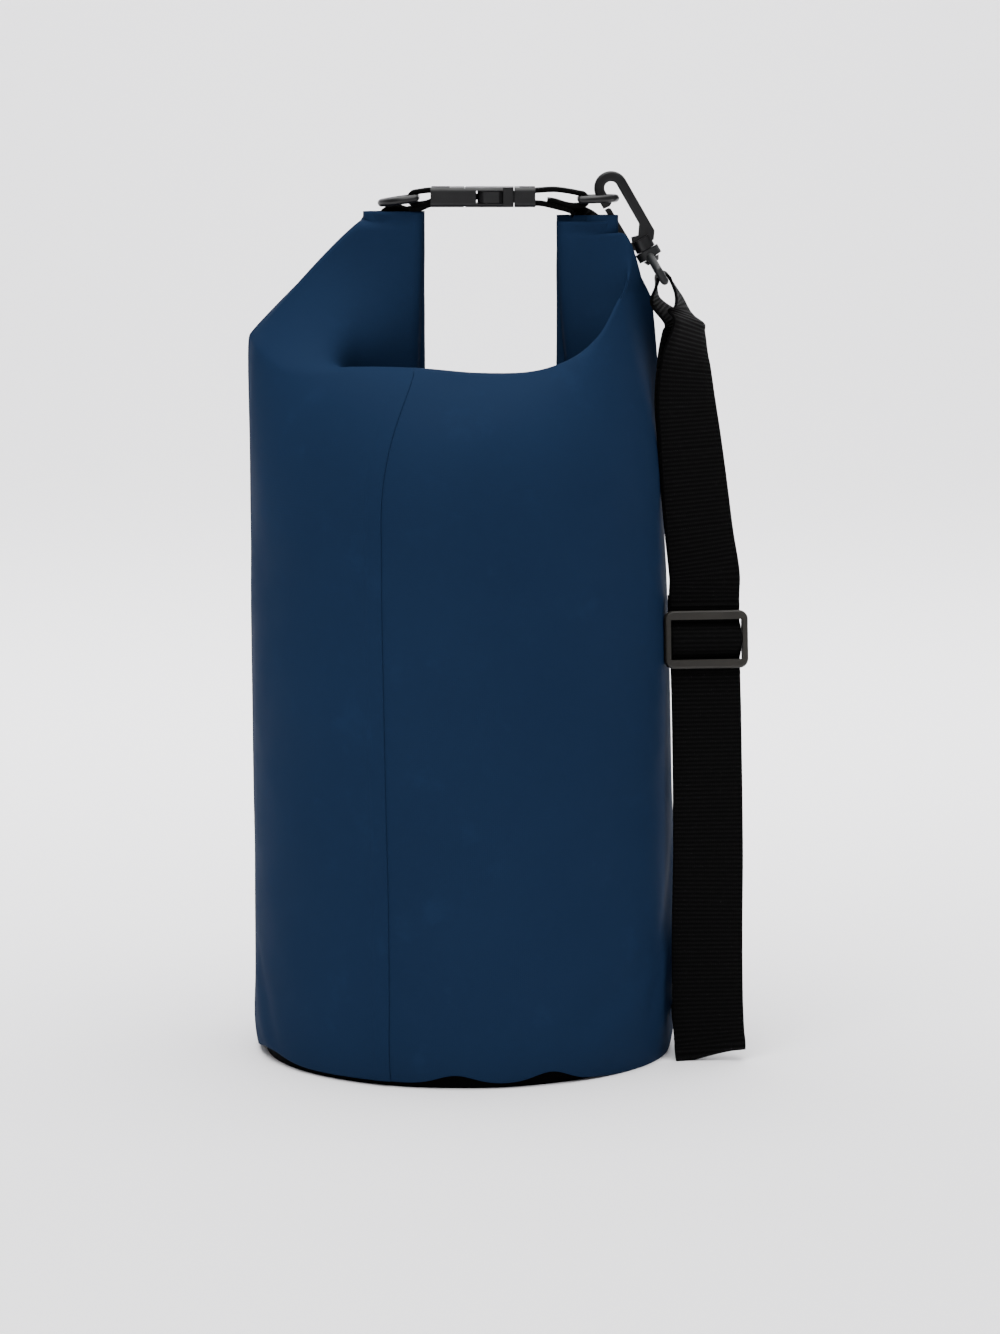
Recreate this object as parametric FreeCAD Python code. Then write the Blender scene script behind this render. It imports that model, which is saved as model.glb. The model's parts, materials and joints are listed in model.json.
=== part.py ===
"""Roll-top rope storage bag, about 15 litres, with a buckled roll closure that makes the carry handle,
and a detachable shoulder strap with a swivel hook at each end.

Frame: origin on the floor under the middle of the round base, +X to the strap side, +Y to the back,
+Z up. Millimetres.
"""

import FreeCAD, Part
import math
import os

from FreeCAD import Vector, Matrix, Placement, Rotation

# ---------------------------------------------------------------- driving dimensions
BAG_R = 110.0              # outer radius of the filled bag
WALL_T = 2.0               # wall, thickened from the real 0.6 mm coated fabric
BASE_R = 104.6             # outside of the base cup's skirt
BASE_FLAT_R = 98.0         # the part of the base that rests on the floor
BASE_T = 2.0
BASE_SKIRT_Z = 16.0
WALL_BOTTOM_Z = 4.0
BOTTOM_EDGE_R = 107.0      # the wall draws in a little at its lower edge
DRAW_IN_H = 12.0
STRAIGHT_TOP_Z = 300.0     # the wall is a true cylinder up to here
SHOULDER_Z = 372.0         # top of the front and back of the filled bag
CAVITY_TOP_Z = 326.0

SEAM_X = -38.0             # lap weld of the wall, on the front
SEAM_WIDTH = 9.0
SEAM_T = 0.8
SEAM_START_Z = 20.0

ROLL_W = 34.0              # height of the rolled closure band
ROLL_T = 20.0              # its thickness after three turns
ROLL_EDGE_R = 5.0
LEFT_X, RIGHT_X = -35.5, 67.0    # middles of the two upright ends of the band
LEFT_TOP_Z, RIGHT_TOP_Z = 457.0, 455.0
BAND_Z = 349.0             # middle of the band where it lies across the bag
BAND_BEND = 23.0           # bend radius of the band's middle line
FIT = 0.3                  # gap between soft neighbours
CORE_W, CORE_T = 27.0, 7.0       # hollow core of the roll, where the lip strips lie
MOUTH_W, MOUTH_T, MOUTH_DEPTH = 27.0, 18.6, 13.0
CORE_LEFT_TOP, CORE_RIGHT_TOP = 444.0, 442.0   # where the flat strips end inside the roll
ROLLED_WEB_SHORT = 4.0     # the rolled webbing ends this much lower, where its twist begins

LIP_W = 25.0               # closure webbing and lip strips
WEB_T = 1.6                # webbing thickness
STIFFENER_T = 1.4
STRIP_GAP = 0.4
WEB_ROUND_GAP = 0.25       # between a rod and the webbing folded round it

BUCKLE_Z = 464.7           # middle plane of the side-release buckle
BUCKLE_X0 = -16.0          # left end of the socket half
BUCKLE_W, BUCKLE_T = 33.0, 10.5
SOCKET_L = 44.0
MALE_END = 55.5            # right end of the plug half, from BUCKLE_X0
BAR = 4.0                  # webbing bars of the buckle, along X
BAR_T = 4.6                # and along Z
SLOT = 4.4

RING_ROD = 4.2             # D-rings
RING_IN_W, RING_IN_L = 27.0, 14.0
LEFT_RING = Vector(-24.3, 0, 464.0)      # middle of each ring's bar
RIGHT_RING = Vector(64.0, 0, 463.3)
LEFT_RING_DROP, RIGHT_RING_RISE = 8.0, 2.0   # degrees
LOWER_RING = Vector(4.0, 115.6, 60.0)
LOWER_RING_OUT = 15.0

STRAP_W = 38.0
HOOK_T = 5.5               # swivel hooks
HOOK_R = 9.0               # outer radius of the bend, half the hook's width
LIMB = 5.5
BEND_Z = 35.0              # bend centre above the hook's collar
NOSE_Z = 27.0
HOOK_BASE_Z = 6.0
COLLAR_R = 5.4
PIN_R = 3.0
BOSS_R = 6.6
LOOP_BAR_Z = -21.0
LOOP_ROD = 4.2
LOOP_IN_W = 40.0
HOOK_LEAN = 30.0           # degrees that the upper hook leans inwards
HOOK_ROOM = 11.1           # the roll's corner is cut away this far from the hook's middle line
UPPER_HOOK = Vector(97.3, 0, 439.0)      # the upper hook's collar
EYE_Z = 36.2               # where the lower ring sits in its hook
LOWER_HOOK_TURN = 15.0

SLIDER_AT = 230.0          # height of the slider on the strap
SLIDER_W, SLIDER_H = 45.4, 31.0
SLIDER_BAR = 4.8
SLIDER_IN_W = 39.2
SLIDER_FRONT, SLIDER_BACK = 3.7, -0.9    # faces of its plate
SLIDER_CORNER_R = 5.0
CROSS_H, CROSS_BACK, CROSS_FRONT = 4.2, -3.6, -0.4   # the middle bar, set back from the plate

PATCH_R = BAG_R + 0.1
PATCH_T = 1.3
PATCH_Z0, PATCH_H = 38.0, 44.0
PATCH_FROM, PATCH_SPAN = 82.0, 36.0      # degrees round the bag from +X


X_AXIS, Y_AXIS, Z_AXIS = Vector(1, 0, 0), Vector(0, 1, 0), Vector(0, 0, 1)
ORIGIN = Vector(0, 0, 0)
CLOSE = 1e-4               # lengths below this count as nothing
OVER = 1.0                 # how far a cutting tool stands out of what it cuts


# ---------------------------------------------------------------- small helpers
def box(x0, x1, y0, y1, z0, z1):
    return Part.makeBox(x1 - x0, y1 - y0, z1 - z0, Vector(x0, y0, z0))


def cylinder(radius, start, direction, length):
    return Part.makeCylinder(radius, length, start, direction)


def polygon_face(points):
    return Part.Face(Part.makePolygon(points + [points[0]]))


def both_sides(shape):
    """The shape and its mirror image across the XZ plane."""
    return [shape, shape.mirror(ORIGIN, Y_AXIS)]


def rounded(shape, radius, wanted):
    """The shape with the edges that wanted() picks rounded off."""
    return shape.makeFillet(radius, [e for e in shape.Edges if wanted(e)])


def along(edge, axis):
    """Whether an edge is straight and runs along an axis."""
    if not isinstance(edge.Curve, Part.Line):
        return False
    run = edge.Vertexes[-1].Point.sub(edge.Vertexes[0].Point)
    return run.cross(axis).Length < CLOSE


def one_solid(shape):
    """The single solid of a boolean's result, without the seams between its merged faces."""
    return shape.removeSplitter().Solids[0]


def frame(origin, x_axis, y_axis, z_axis):
    """A placement that carries local axes to the given ones."""
    m = Matrix(x_axis.x, y_axis.x, z_axis.x, origin.x,
               x_axis.y, y_axis.y, z_axis.y, origin.y,
               x_axis.z, y_axis.z, z_axis.z, origin.z,
               0, 0, 0, 1)
    return Placement(m)


def placed(shape, placement):
    moved = shape.copy()
    moved.Placement = placement.multiply(moved.Placement)
    return moved


def band_outline(points, thickness):
    """Corner points of a strip of constant thickness that follows a line of points in one plane.

    points are (u, v) pairs. The strip's corners are mitred.
    """
    runs = [Vector(b[0] - a[0], b[1] - a[1], 0).normalize() for a, b in zip(points, points[1:])]
    left, right = [], []
    for i, (u, v) in enumerate(points):
        near = runs[max(i - 1, 0):i + 1]
        mean = near[0].add(near[-1]) * 0.5
        mitre = thickness / 2 / mean.dot(mean)
        left.append((u - mean.y * mitre, v + mean.x * mitre))
        right.append((u + mean.y * mitre, v - mean.x * mitre))
    return left + right[::-1]


def arc_points(centre, radius, start, end, steps):
    """Points on an arc in a plane, from angle start to end in degrees."""
    angles = [math.radians(start + (end - start) * i / steps) for i in range(steps + 1)]
    return [(centre[0] + radius * math.cos(a), centre[1] + radius * math.sin(a)) for a in angles]


def ribbon(stations, thickness):
    """A flat strip through stations of (middle, direction of its width, width), as a ruled loft."""
    wires = []
    for i, (middle, across, width) in enumerate(stations):
        before = stations[max(i - 1, 0)][0]
        after = stations[min(i + 1, len(stations) - 1)][0]
        run = after.sub(before).normalize()
        w = Vector(across).normalize()
        n = run.cross(w).normalize()
        w = n.cross(run).normalize()
        a, b = w * (width / 2), n * (thickness / 2)
        corners = [middle + a + b, middle - a + b, middle - a - b, middle + a - b]
        wires.append(Part.makePolygon(corners + [corners[0]]))
    return Part.makeLoft(wires, True, True)


# ---------------------------------------------------------------- the bag's body
# Outline of the shoulder, outside and inside: half-width along X, half-depth along Y, and height.
SHOULDER = [(109.5, 105, 335), (108, 92, 356), (104, 70, SHOULDER_Z)]
SHOULDER_HOLLOW = [(106.5, 102, 335), (105, 88.5, 354), (101, 67, SHOULDER_Z - 3)]
# The gathered sides between the shoulder and the closure: height, and (x, half-depth) points of one half.
LEFT_GATHER = [(350, [(-104, 1), (-98, 34), (-78, 52), (-53, 58)]),
               (390, [(-112, 1), (-96, 18), (-76, 30), (-53, 34)]),
               (449, [(-54.0, 1), (-53.8, 4), (-53.4, 7), (-53, 8)])]
RIGHT_GATHER = [(350, [(104, 1), (100, 30), (94, 46), (84.3, 54)]),
                (407, [(103.0, 1), (97.5, 12), (92, 22), (84.3, 27)]),
                (438, [(85.6, 1), (85.3, 4), (84.8, 6), (84.3, 7)])]


def dome(radius, outlines):
    """Smooth loft from a circle at the top of the straight wall through ellipses."""
    wires = [Part.Wire(Part.Circle(Vector(0, 0, STRAIGHT_TOP_Z), Z_AXIS, radius).toShape())]
    wires += [Part.Wire(Part.Ellipse(Vector(0, 0, z), a, b).toShape()) for a, b, z in outlines]
    return Part.makeLoft(wires, True, False)


def gather(outlines):
    """One gathered side, front and back alike."""
    wires = []
    for z, half in outlines:
        ring = [Vector(x, -y, z) for x, y in half] + [Vector(x, y, z) for x, y in reversed(half)]
        wires.append(Part.makePolygon(ring + [ring[0]]))
    return Part.makeLoft(wires, True, True)


def lap_weld():
    """The raised second layer of the wall's lap weld, as a sector that the wall is fused with."""
    sector = math.degrees(SEAM_WIDTH / BAG_R)
    middle = -math.degrees(math.acos(SEAM_X / BAG_R))
    height = STRAIGHT_TOP_Z - SEAM_START_Z
    weld = Part.makeCylinder(BAG_R + SEAM_T, height, Vector(0, 0, SEAM_START_Z), Z_AXIS, sector)
    weld.rotate(ORIGIN, Z_AXIS, middle - sector / 2)
    return weld


def closure_trough():
    """Room for the rolled closure, open upwards."""
    half_t, half_w = ROLL_T / 2 + FIT, ROLL_W / 2 + FIT
    return box(LEFT_X - half_w, RIGHT_X + half_w, -half_t, half_t, BAND_Z - half_w, LEFT_TOP_Z + OVER)


def wall_inside():
    """The bag's hollow, with the skirt's room at the bottom and the trough's walls left standing."""
    skirt_top = BASE_SKIRT_Z + 2
    flare_h = 8.0
    inner_r = BAG_R - WALL_T
    straight_start = skirt_top + flare_h
    skirt_room = cylinder(BASE_R + FIT, ORIGIN, Z_AXIS, skirt_top)
    flare = Part.makeCone(BASE_R + FIT, inner_r, flare_h, Vector(0, 0, skirt_top))
    straight = cylinder(inner_r, Vector(0, 0, straight_start), Z_AXIS, STRAIGHT_TOP_Z - straight_start)
    trough_wall = ROLL_T / 2 + FIT + WALL_T
    trough_block = box(-BAG_R, BAG_R, -trough_wall, trough_wall, CAVITY_TOP_Z, SHOULDER_Z)
    return skirt_room.fuse([flare, straight, dome(inner_r, SHOULDER_HOLLOW).cut(trough_block)])


def wall_panel():
    straight_start = WALL_BOTTOM_Z + DRAW_IN_H
    lower = Part.makeCone(BOTTOM_EDGE_R, BAG_R, DRAW_IN_H, Vector(0, 0, WALL_BOTTOM_Z))
    straight = cylinder(BAG_R, Vector(0, 0, straight_start), Z_AXIS, STRAIGHT_TOP_Z - straight_start)
    sides = [gather(LEFT_GATHER), gather(RIGHT_GATHER)]
    outer = lower.fuse([straight, dome(BAG_R, SHOULDER), lap_weld()] + sides)
    return one_solid(outer.cut(wall_inside().fuse(closure_trough())))


def base_panel():
    """Round base with an upturned skirt, which is welded inside the wall's lower edge."""
    t = BASE_T
    profile = [ORIGIN, Vector(BASE_FLAT_R, 0, 0), Vector(BASE_R - 1.5, 0, 2.5), Vector(BASE_R, 0, 6),
               Vector(BASE_R, 0, BASE_SKIRT_Z), Vector(BASE_R - t, 0, BASE_SKIRT_Z), Vector(BASE_R - t, 0, 6.8),
               Vector(BASE_R - t - 1.6, 0, 4.2), Vector(BASE_FLAT_R - 1, 0, t), Vector(0, 0, t)]
    return polygon_face(profile).revolve(ORIGIN, Z_AXIS, 360)


# ---------------------------------------------------------------- the rolled closure
def u_face(half, y, left_top, right_top):
    """Face of a U-shaped band of half-width half about the closure's middle line, at depth y."""
    zc = BAND_Z + BAND_BEND
    xl, xr = LEFT_X + BAND_BEND, RIGHT_X - BAND_BEND

    def p(x, z):
        return Vector(x, y, z)

    def quarter(cx, radius, start):
        a, m, b = (math.radians(start + k) for k in (0, 45, 90))
        return [p(cx + radius * math.cos(t), zc + radius * math.sin(t)) for t in (a, m, b)]

    r_out, r_in = BAND_BEND + half, BAND_BEND - half
    low_l, low_r = quarter(xl, r_out, 180), quarter(xr, r_out, 270)
    in_r, in_l = quarter(xr, r_in, 270)[::-1], quarter(xl, r_in, 180)[::-1]
    top = [p(RIGHT_X + half, right_top), p(RIGHT_X - half, right_top)]
    start = [p(LEFT_X + half, left_top), p(LEFT_X - half, left_top)]
    edges = [Part.LineSegment(start[1], low_l[0]), Part.Arc(*low_l), Part.LineSegment(low_l[2], low_r[0]),
             Part.Arc(*low_r), Part.LineSegment(low_r[2], top[0]), Part.LineSegment(top[0], top[1]),
             Part.LineSegment(top[1], in_r[0]), Part.Arc(*in_r), Part.LineSegment(in_r[2], in_l[0]),
             Part.Arc(*in_l), Part.LineSegment(in_l[2], start[0]), Part.LineSegment(start[0], start[1])]
    return Part.Face(Part.Wire([e.toShape() for e in edges]))


def u_strip(half, thickness, y_middle, left_top, right_top):
    return u_face(half, y_middle - thickness / 2, left_top, right_top).extrude(Vector(0, thickness, 0))


def hook_side_cut():
    """What the leaning upper hook needs free at the outer corner of the right end of the roll."""
    below, length, beside = 30.0, 80.0, 40.0
    return placed(box(-HOOK_ROOM, beside, -ROLL_T, ROLL_T, -below, length - below), upper_hook_frame())


def closure_roll():
    band = u_strip(ROLL_W / 2, ROLL_T, 0, LEFT_TOP_Z, RIGHT_TOP_Z)

    def long_edge(edge):
        on_a_face = all(abs(abs(v.Point.y) - ROLL_T / 2) < CLOSE for v in edge.Vertexes)
        at_an_end = all(v.Point.z > RIGHT_TOP_Z - CLOSE for v in edge.Vertexes)
        return on_a_face and not at_an_end and not along(edge, Y_AXIS)

    band = rounded(band, ROLL_EDGE_R, long_edge)
    core = u_strip(CORE_W / 2, CORE_T, 0, LEFT_TOP_Z + OVER, RIGHT_TOP_Z + OVER)
    mouths = [box(x - MOUTH_W / 2, x + MOUTH_W / 2, -MOUTH_T / 2, MOUTH_T / 2, top - MOUTH_DEPTH, top + OVER)
              for x, top in ((LEFT_X, LEFT_TOP_Z), (RIGHT_X, RIGHT_TOP_Z))]
    return one_solid(band.cut(mouths[0].fuse([mouths[1], core, hook_side_cut()])))


def lip_stiffener(side):
    """One of the two stiff strips along the lips of the mouth, rolled up in the core."""
    y = side * (WEB_T / 2 + STRIP_GAP + STIFFENER_T / 2)
    return u_strip(LIP_W / 2, STIFFENER_T, y, CORE_LEFT_TOP, CORE_RIGHT_TOP)


def web_round(rod):
    """From the middle of a rod to the middle of the webbing folded round it."""
    return rod / 2 + WEB_ROUND_GAP + WEB_T / 2


# The closure webbing's two ends. Risers twist out of the roll: x, z, the twist in degrees, and the width,
# which curls narrower in the twist. Runs then face the buckle: (x, z) points.
LEFT_RISER = [(-35.5, 440, 0, 25), (-35.5, 446, 0, 25), (-35.3, 450.5, 12, 22), (-34.6, 454.0, 24, 19),
              (-32.6, 456.6, 40, 15), (-29.6, 458.2, 68, 17), (-25.5, 458.4, 90, 25)]
RIGHT_RISER = [(67.0, 438, 0, 25), (66.8, 444, 0, 25), (65.8, 448.5, 12, 22), (64.4, 452.0, 24, 19),
               (62.4, 455.0, 40, 15), (60.2, 456.6, 66, 17), (57.0, 457.7, 90, 25)]
LEFT_RUN = [(-25.5, 458.4), (-21.5, 458.5), (-17.5, 460.2)]
RIGHT_RUN = [(57.0, 457.7), (53.0, 458.8), (47.0, 460.3), (42.5, 461.2)]
RIGHT_RETURN = [(49.5, 468.6), (56.0, 467.9)]
RING_TURN_STEPS = 8


def round_buckle_bar(bar_x, side):
    """Points of the fold round a buckle bar, from below it to above it on the buckle's inner side."""
    reach = web_round(BAR_T)
    side_reach = BAR / 2 + 1.3
    fold = [(0, -reach), (side_reach - 0.3, 0.2 - reach), (side_reach, -1.2), (side_reach, 1.2),
            (side_reach - 0.3, reach - 0.2), (0, reach), (-3.4, reach + 0.1)]
    return [(bar_x - side * dx, BUCKLE_Z + dz) for dx, dz in fold]


def left_end_path():
    """Left webbing end: to the buckle's bar, round it, and back round the left ring's bar."""
    ring = (LEFT_RING.x, LEFT_RING.z)
    loop = web_round(RING_ROD)
    around = arc_points(ring, loop, 90, 270, RING_TURN_STEPS)
    tail = [(ring[0] + 2.8, ring[1] - loop)]
    return LEFT_RUN + round_buckle_bar(BUCKLE_X0 + BAR / 2, -1) + around + tail


def right_end_path():
    """Right webbing end, the same way round to the right ring's bar."""
    ring = (RIGHT_RING.x, RIGHT_RING.z)
    loop = web_round(RING_ROD)
    fold = round_buckle_bar(BUCKLE_X0 + MALE_END - BAR / 2, 1)
    around = arc_points(ring, loop, 90, -90, RING_TURN_STEPS)
    tail = [(ring[0] - 5.0, ring[1] - loop - 0.1), (ring[0] - 9.5, ring[1] - loop + 0.5)]
    return RIGHT_RUN + fold + RIGHT_RETURN + around + tail


def riser(rows):
    stations = []
    for x, z, twist, width in rows:
        a = math.radians(twist)
        stations.append((Vector(x, 0, z), Vector(math.cos(a), math.sin(a), 0), width))
    return ribbon(stations, WEB_T)


def closure_webbing():
    """One length of webbing: rolled up in the lip, its two ends out of the roll to the buckle and rings."""
    core = u_strip(LIP_W / 2, WEB_T, 0, CORE_LEFT_TOP - ROLLED_WEB_SHORT, CORE_RIGHT_TOP - ROLLED_WEB_SHORT)
    parts = [riser(LEFT_RISER), riser(RIGHT_RISER)]
    for path in (left_end_path(), right_end_path()):
        face = polygon_face([Vector(x, -LIP_W / 2, z) for x, z in band_outline(path, WEB_T)])
        parts.append(face.extrude(Vector(0, LIP_W, 0)))
    return one_solid(core.fuse(parts))


# ---------------------------------------------------------------- D-rings
def d_ring():
    """Ring with its bar along local Y through the origin and its bow towards local +X."""
    r = RING_ROD / 2
    half = RING_IN_W / 2 + r
    straight = RING_ROD + RING_IN_L - half
    bow = Part.makeTorus(half, r, Vector(straight, 0, 0), Z_AXIS, -180, 180, 180)
    bow.rotate(Vector(straight, 0, 0), Z_AXIS, -90)
    side = cylinder(r, Vector(0, half, 0), X_AXIS, straight)
    corner = Part.makeSphere(r, Vector(0, half, 0))
    bar = cylinder(r, Vector(0, -half, 0), Y_AXIS, 2 * half)
    return one_solid(bar.fuse([bow] + both_sides(side) + both_sides(corner)))


def left_ring():
    return placed(d_ring(), Placement(LEFT_RING, Rotation(Y_AXIS, 180 - LEFT_RING_DROP)))


def right_ring():
    return placed(d_ring(), Placement(RIGHT_RING, Rotation(Y_AXIS, -RIGHT_RING_RISE)))


def lower_ring_direction():
    """From the lower ring's bar to its bow."""
    a = math.radians(LOWER_RING_OUT)
    return Vector(math.cos(a), math.sin(a), 0)


def lower_ring():
    outwards = lower_ring_direction()
    return placed(d_ring(), frame(LOWER_RING, outwards, Z_AXIS, outwards.cross(Z_AXIS)))


# ---------------------------------------------------------------- side-release buckle
# All X values here are from the socket half's left end.
ARM_ROOT_X = 45.5
ARM_Y = 9.4
ARM_ROOT_R = 1.9
ARM_FIT = 0.15
WINDOW_X0, WINDOW_X1 = 24.0, 38.4
CAVITY_X0 = 14.0
CAVITY_HALF_W, CAVITY_HALF_T = 12.6, 3.4
RECESS_HALF_W = 14.4
PAD_GAP = 0.4
BLOCK_GAP = 0.4
BUCKLE_EDGE_R = 2.4
SLOT_HALF_W = LIP_W / 2 + 1
GROOVE_X0, GROOVE_X1, GROOVE_DEPTH = 17.6, 18.4, 0.5
TONGUE_X0, TONGUE_HALF_W, TONGUE_HALF_T, TONGUE_R = 19.0, 2.6, 1.6, 1.2
NECK_HALF_W, NECK_HALF_T = 8.0, 2.6


def at_buckle(shape):
    shape.translate(Vector(BUCKLE_X0, 0, BUCKLE_Z))
    return shape


def above_and_below(x0, x1, half_w, z0, z1):
    """A box from z0 to z1 and its mirror image below the middle plane."""
    return [box(x0, x1, -half_w, half_w, z0, z1), box(x0, x1, -half_w, half_w, -z1, -z0)]


def buckle_block(x0, x1):
    half_w, half_t = BUCKLE_W / 2, BUCKLE_T / 2
    block = box(x0, x1, -half_w, half_w, -half_t, half_t)
    return rounded(block, BUCKLE_EDGE_R, lambda e: along(e, X_AXIS))


def webbing_slot(x0, x1, bar_x0, bar_x1):
    """Cutters for a slot from x0 to x1, and for the space above and below the bar beside it."""
    half_t = BUCKLE_T / 2 + OVER
    slot = box(x0, x1, -SLOT_HALF_W, SLOT_HALF_W, -half_t, half_t)
    return [slot] + above_and_below(bar_x0, bar_x1, SLOT_HALF_W, BAR_T / 2, half_t)


def buckle_socket():
    half_w, half_t = BUCKLE_W / 2, BUCKLE_T / 2
    cavity = box(CAVITY_X0, SOCKET_L + OVER, -CAVITY_HALF_W, CAVITY_HALF_W, -CAVITY_HALF_T, CAVITY_HALF_T)
    windows = box(WINDOW_X0, WINDOW_X1, -half_w - OVER, half_w + OVER, -CAVITY_HALF_T, CAVITY_HALF_T)
    cut_t = half_t + OVER
    finger_cut = box(WINDOW_X1 - CLOSE, SOCKET_L + OVER, RECESS_HALF_W, half_w + OVER, -cut_t, cut_t)
    grooves = above_and_below(GROOVE_X0, GROOVE_X1, half_w + OVER, half_t - GROOVE_DEPTH, half_t + OVER)
    slot = webbing_slot(BAR, BAR + SLOT + 1.6, -OVER, BAR)
    cutters = [windows] + both_sides(finger_cut) + grooves + slot
    return at_buckle(one_solid(buckle_block(0, SOCKET_L).cut(cavity.fuse(cutters))))


def buckle_plug():
    """Plug half: end block with its webbing bar, and the guide tongue. The arms are nodes of their own."""
    bar_x = MALE_END - BAR
    slot = webbing_slot(bar_x - SLOT, bar_x, bar_x, MALE_END + OVER)
    block = buckle_block(SOCKET_L + BLOCK_GAP, MALE_END).cut(slot[0].fuse(slot[1:]))
    tongue = box(TONGUE_X0, SOCKET_L + OVER, -TONGUE_HALF_W, TONGUE_HALF_W, -TONGUE_HALF_T, TONGUE_HALF_T)
    tongue = rounded(tongue, TONGUE_R, lambda e: along(e, Z_AXIS) and e.CenterOfMass.x < TONGUE_X0 + CLOSE)
    neck = box(SOCKET_L - 1.5, SOCKET_L + OVER, -NECK_HALF_W, NECK_HALF_W, -NECK_HALF_T, NECK_HALF_T)
    root = Vector(ARM_ROOT_X, ARM_Y, -CAVITY_HALF_T)
    hinge = cylinder(ARM_ROOT_R + ARM_FIT, root, Z_AXIS, 2 * CAVITY_HALF_T)
    sweep = box(SOCKET_L - 4, ARM_ROOT_X, ARM_Y - 2.6, ARM_Y + 2.6, -CAVITY_HALF_T, CAVITY_HALF_T)
    rooms = both_sides(hinge) + both_sides(sweep)
    return at_buckle(one_solid(block.fuse([tongue, neck]).cut(rooms[0].fuse(rooms[1:]))))


# Outline of an arm: (x, distance from the buckle's middle line), from its root round its thumb pad.
ARM_OUTLINE = [(ARM_ROOT_X, ARM_Y - 1.1), (ARM_ROOT_X, ARM_Y + 1.1), (40.5, ARM_Y + 1.5), (38.0, ARM_Y + 1.9),
               (38.0, 14.0), (36.2, 16.0), (28.0, 15.9), (25.6, 14.0), (24.8, 11.4), (25.6, 9.0), (30.0, 8.0),
               (40.5, ARM_Y - 1.4)]


def buckle_arm(side):
    """Springy arm of the plug half: a beam with the thumb pad that fills the socket's window."""
    half_t = CAVITY_HALF_T - PAD_GAP
    root = cylinder(ARM_ROOT_R, Vector(ARM_ROOT_X, side * ARM_Y, -half_t), Z_AXIS, 2 * half_t)
    outline = polygon_face([Vector(x, side * y, -half_t) for x, y in ARM_OUTLINE])
    return at_buckle(one_solid(root.fuse(outline.extrude(Vector(0, 0, 2 * half_t)))))


# ---------------------------------------------------------------- swivel hooks, in their own frame
# Local frame: +Z along the shank towards the bend, X across the hook with the gate on -X, Y its thickness.
PIN_END_Z = -8.4
HEAD_H, HEAD_R0, HEAD_R1 = 2.4, 3.4, 4.7
HOOK_EDGE_R = 1.4
GATE_OUT, GATE_IN = HOOK_R - 0.3, HOOK_R - 3.9     # faces of the gate's leaf from the hook's middle line
GATE_SIDE_GAP = 0.55
BOSS_Z0, BOSS_H = -7.6, 4.6
HEAD_ROOM_R, HEAD_ROOM_Z0, HEAD_ROOM_H = 5.0, -12.0, 4.4
PIN_FIT = 0.15


def hook_body():
    t = HOOK_T
    r_in = HOOK_R - LIMB

    def p(x, z):
        return Vector(x, -t / 2, z)

    outer = Part.Arc(p(-HOOK_R, BEND_Z), p(0, BEND_Z + HOOK_R), p(HOOK_R, BEND_Z))
    inner = Part.Arc(p(r_in, BEND_Z), p(0, BEND_Z + r_in), p(-r_in, BEND_Z))
    gate_seat = HOOK_BASE_Z - 1.6
    shank = [p(HOOK_R, BEND_Z), p(HOOK_R, 4), p(6.2, 0), p(-6.2, 0), p(-HOOK_R, 2.5), p(-HOOK_R, gate_seat),
             p(-4.6, gate_seat), p(-3.6, HOOK_BASE_Z + 1), p(0, HOOK_BASE_Z), p(r_in, HOOK_BASE_Z + 5),
             p(r_in, BEND_Z)]
    nose = [p(-r_in, BEND_Z), p(-r_in, NOSE_Z + 1), p(0.8 - HOOK_R + LIMB / 2, NOSE_Z),
            p(-HOOK_R, NOSE_Z + 0.4), p(-HOOK_R, BEND_Z)]
    path = [outer.toShape()] + [Part.makeLine(a, b) for a, b in zip(shank, shank[1:])]
    path += [inner.toShape()] + [Part.makeLine(a, b) for a, b in zip(nose, nose[1:])]
    body = Part.Face(Part.Wire(path)).extrude(Vector(0, t, 0))
    body = rounded(body, HOOK_EDGE_R, lambda e: isinstance(e.Curve, Part.Circle))
    collar = cylinder(COLLAR_R, Vector(0, 0, -2.6), Z_AXIS, 6.4)
    pin = cylinder(PIN_R, Vector(0, 0, PIN_END_Z), Z_AXIS, -PIN_END_Z)
    head = Part.makeCone(HEAD_R0, HEAD_R1, HEAD_H, Vector(0, 0, PIN_END_Z - 2.2))
    return one_solid(body.fuse([collar, pin, head]))


def hook_gate():
    """Springy leaf that closes the hook from its base to the nose."""
    t = HOOK_T - 2 * GATE_SIDE_GAP
    outline = [(0.8 - GATE_OUT, HOOK_BASE_Z - 1.4), (-GATE_IN - 1.2, HOOK_BASE_Z - 1.4),
               (-GATE_IN, HOOK_BASE_Z - 0.4), (-GATE_IN - 0.4, NOSE_Z - 1.4), (-GATE_IN - 1.4, NOSE_Z - 0.5),
               (-GATE_OUT, NOSE_Z - 0.4)]
    return polygon_face([Vector(x, -t / 2, z) for x, z in outline]).extrude(Vector(0, t, 0))


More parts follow.
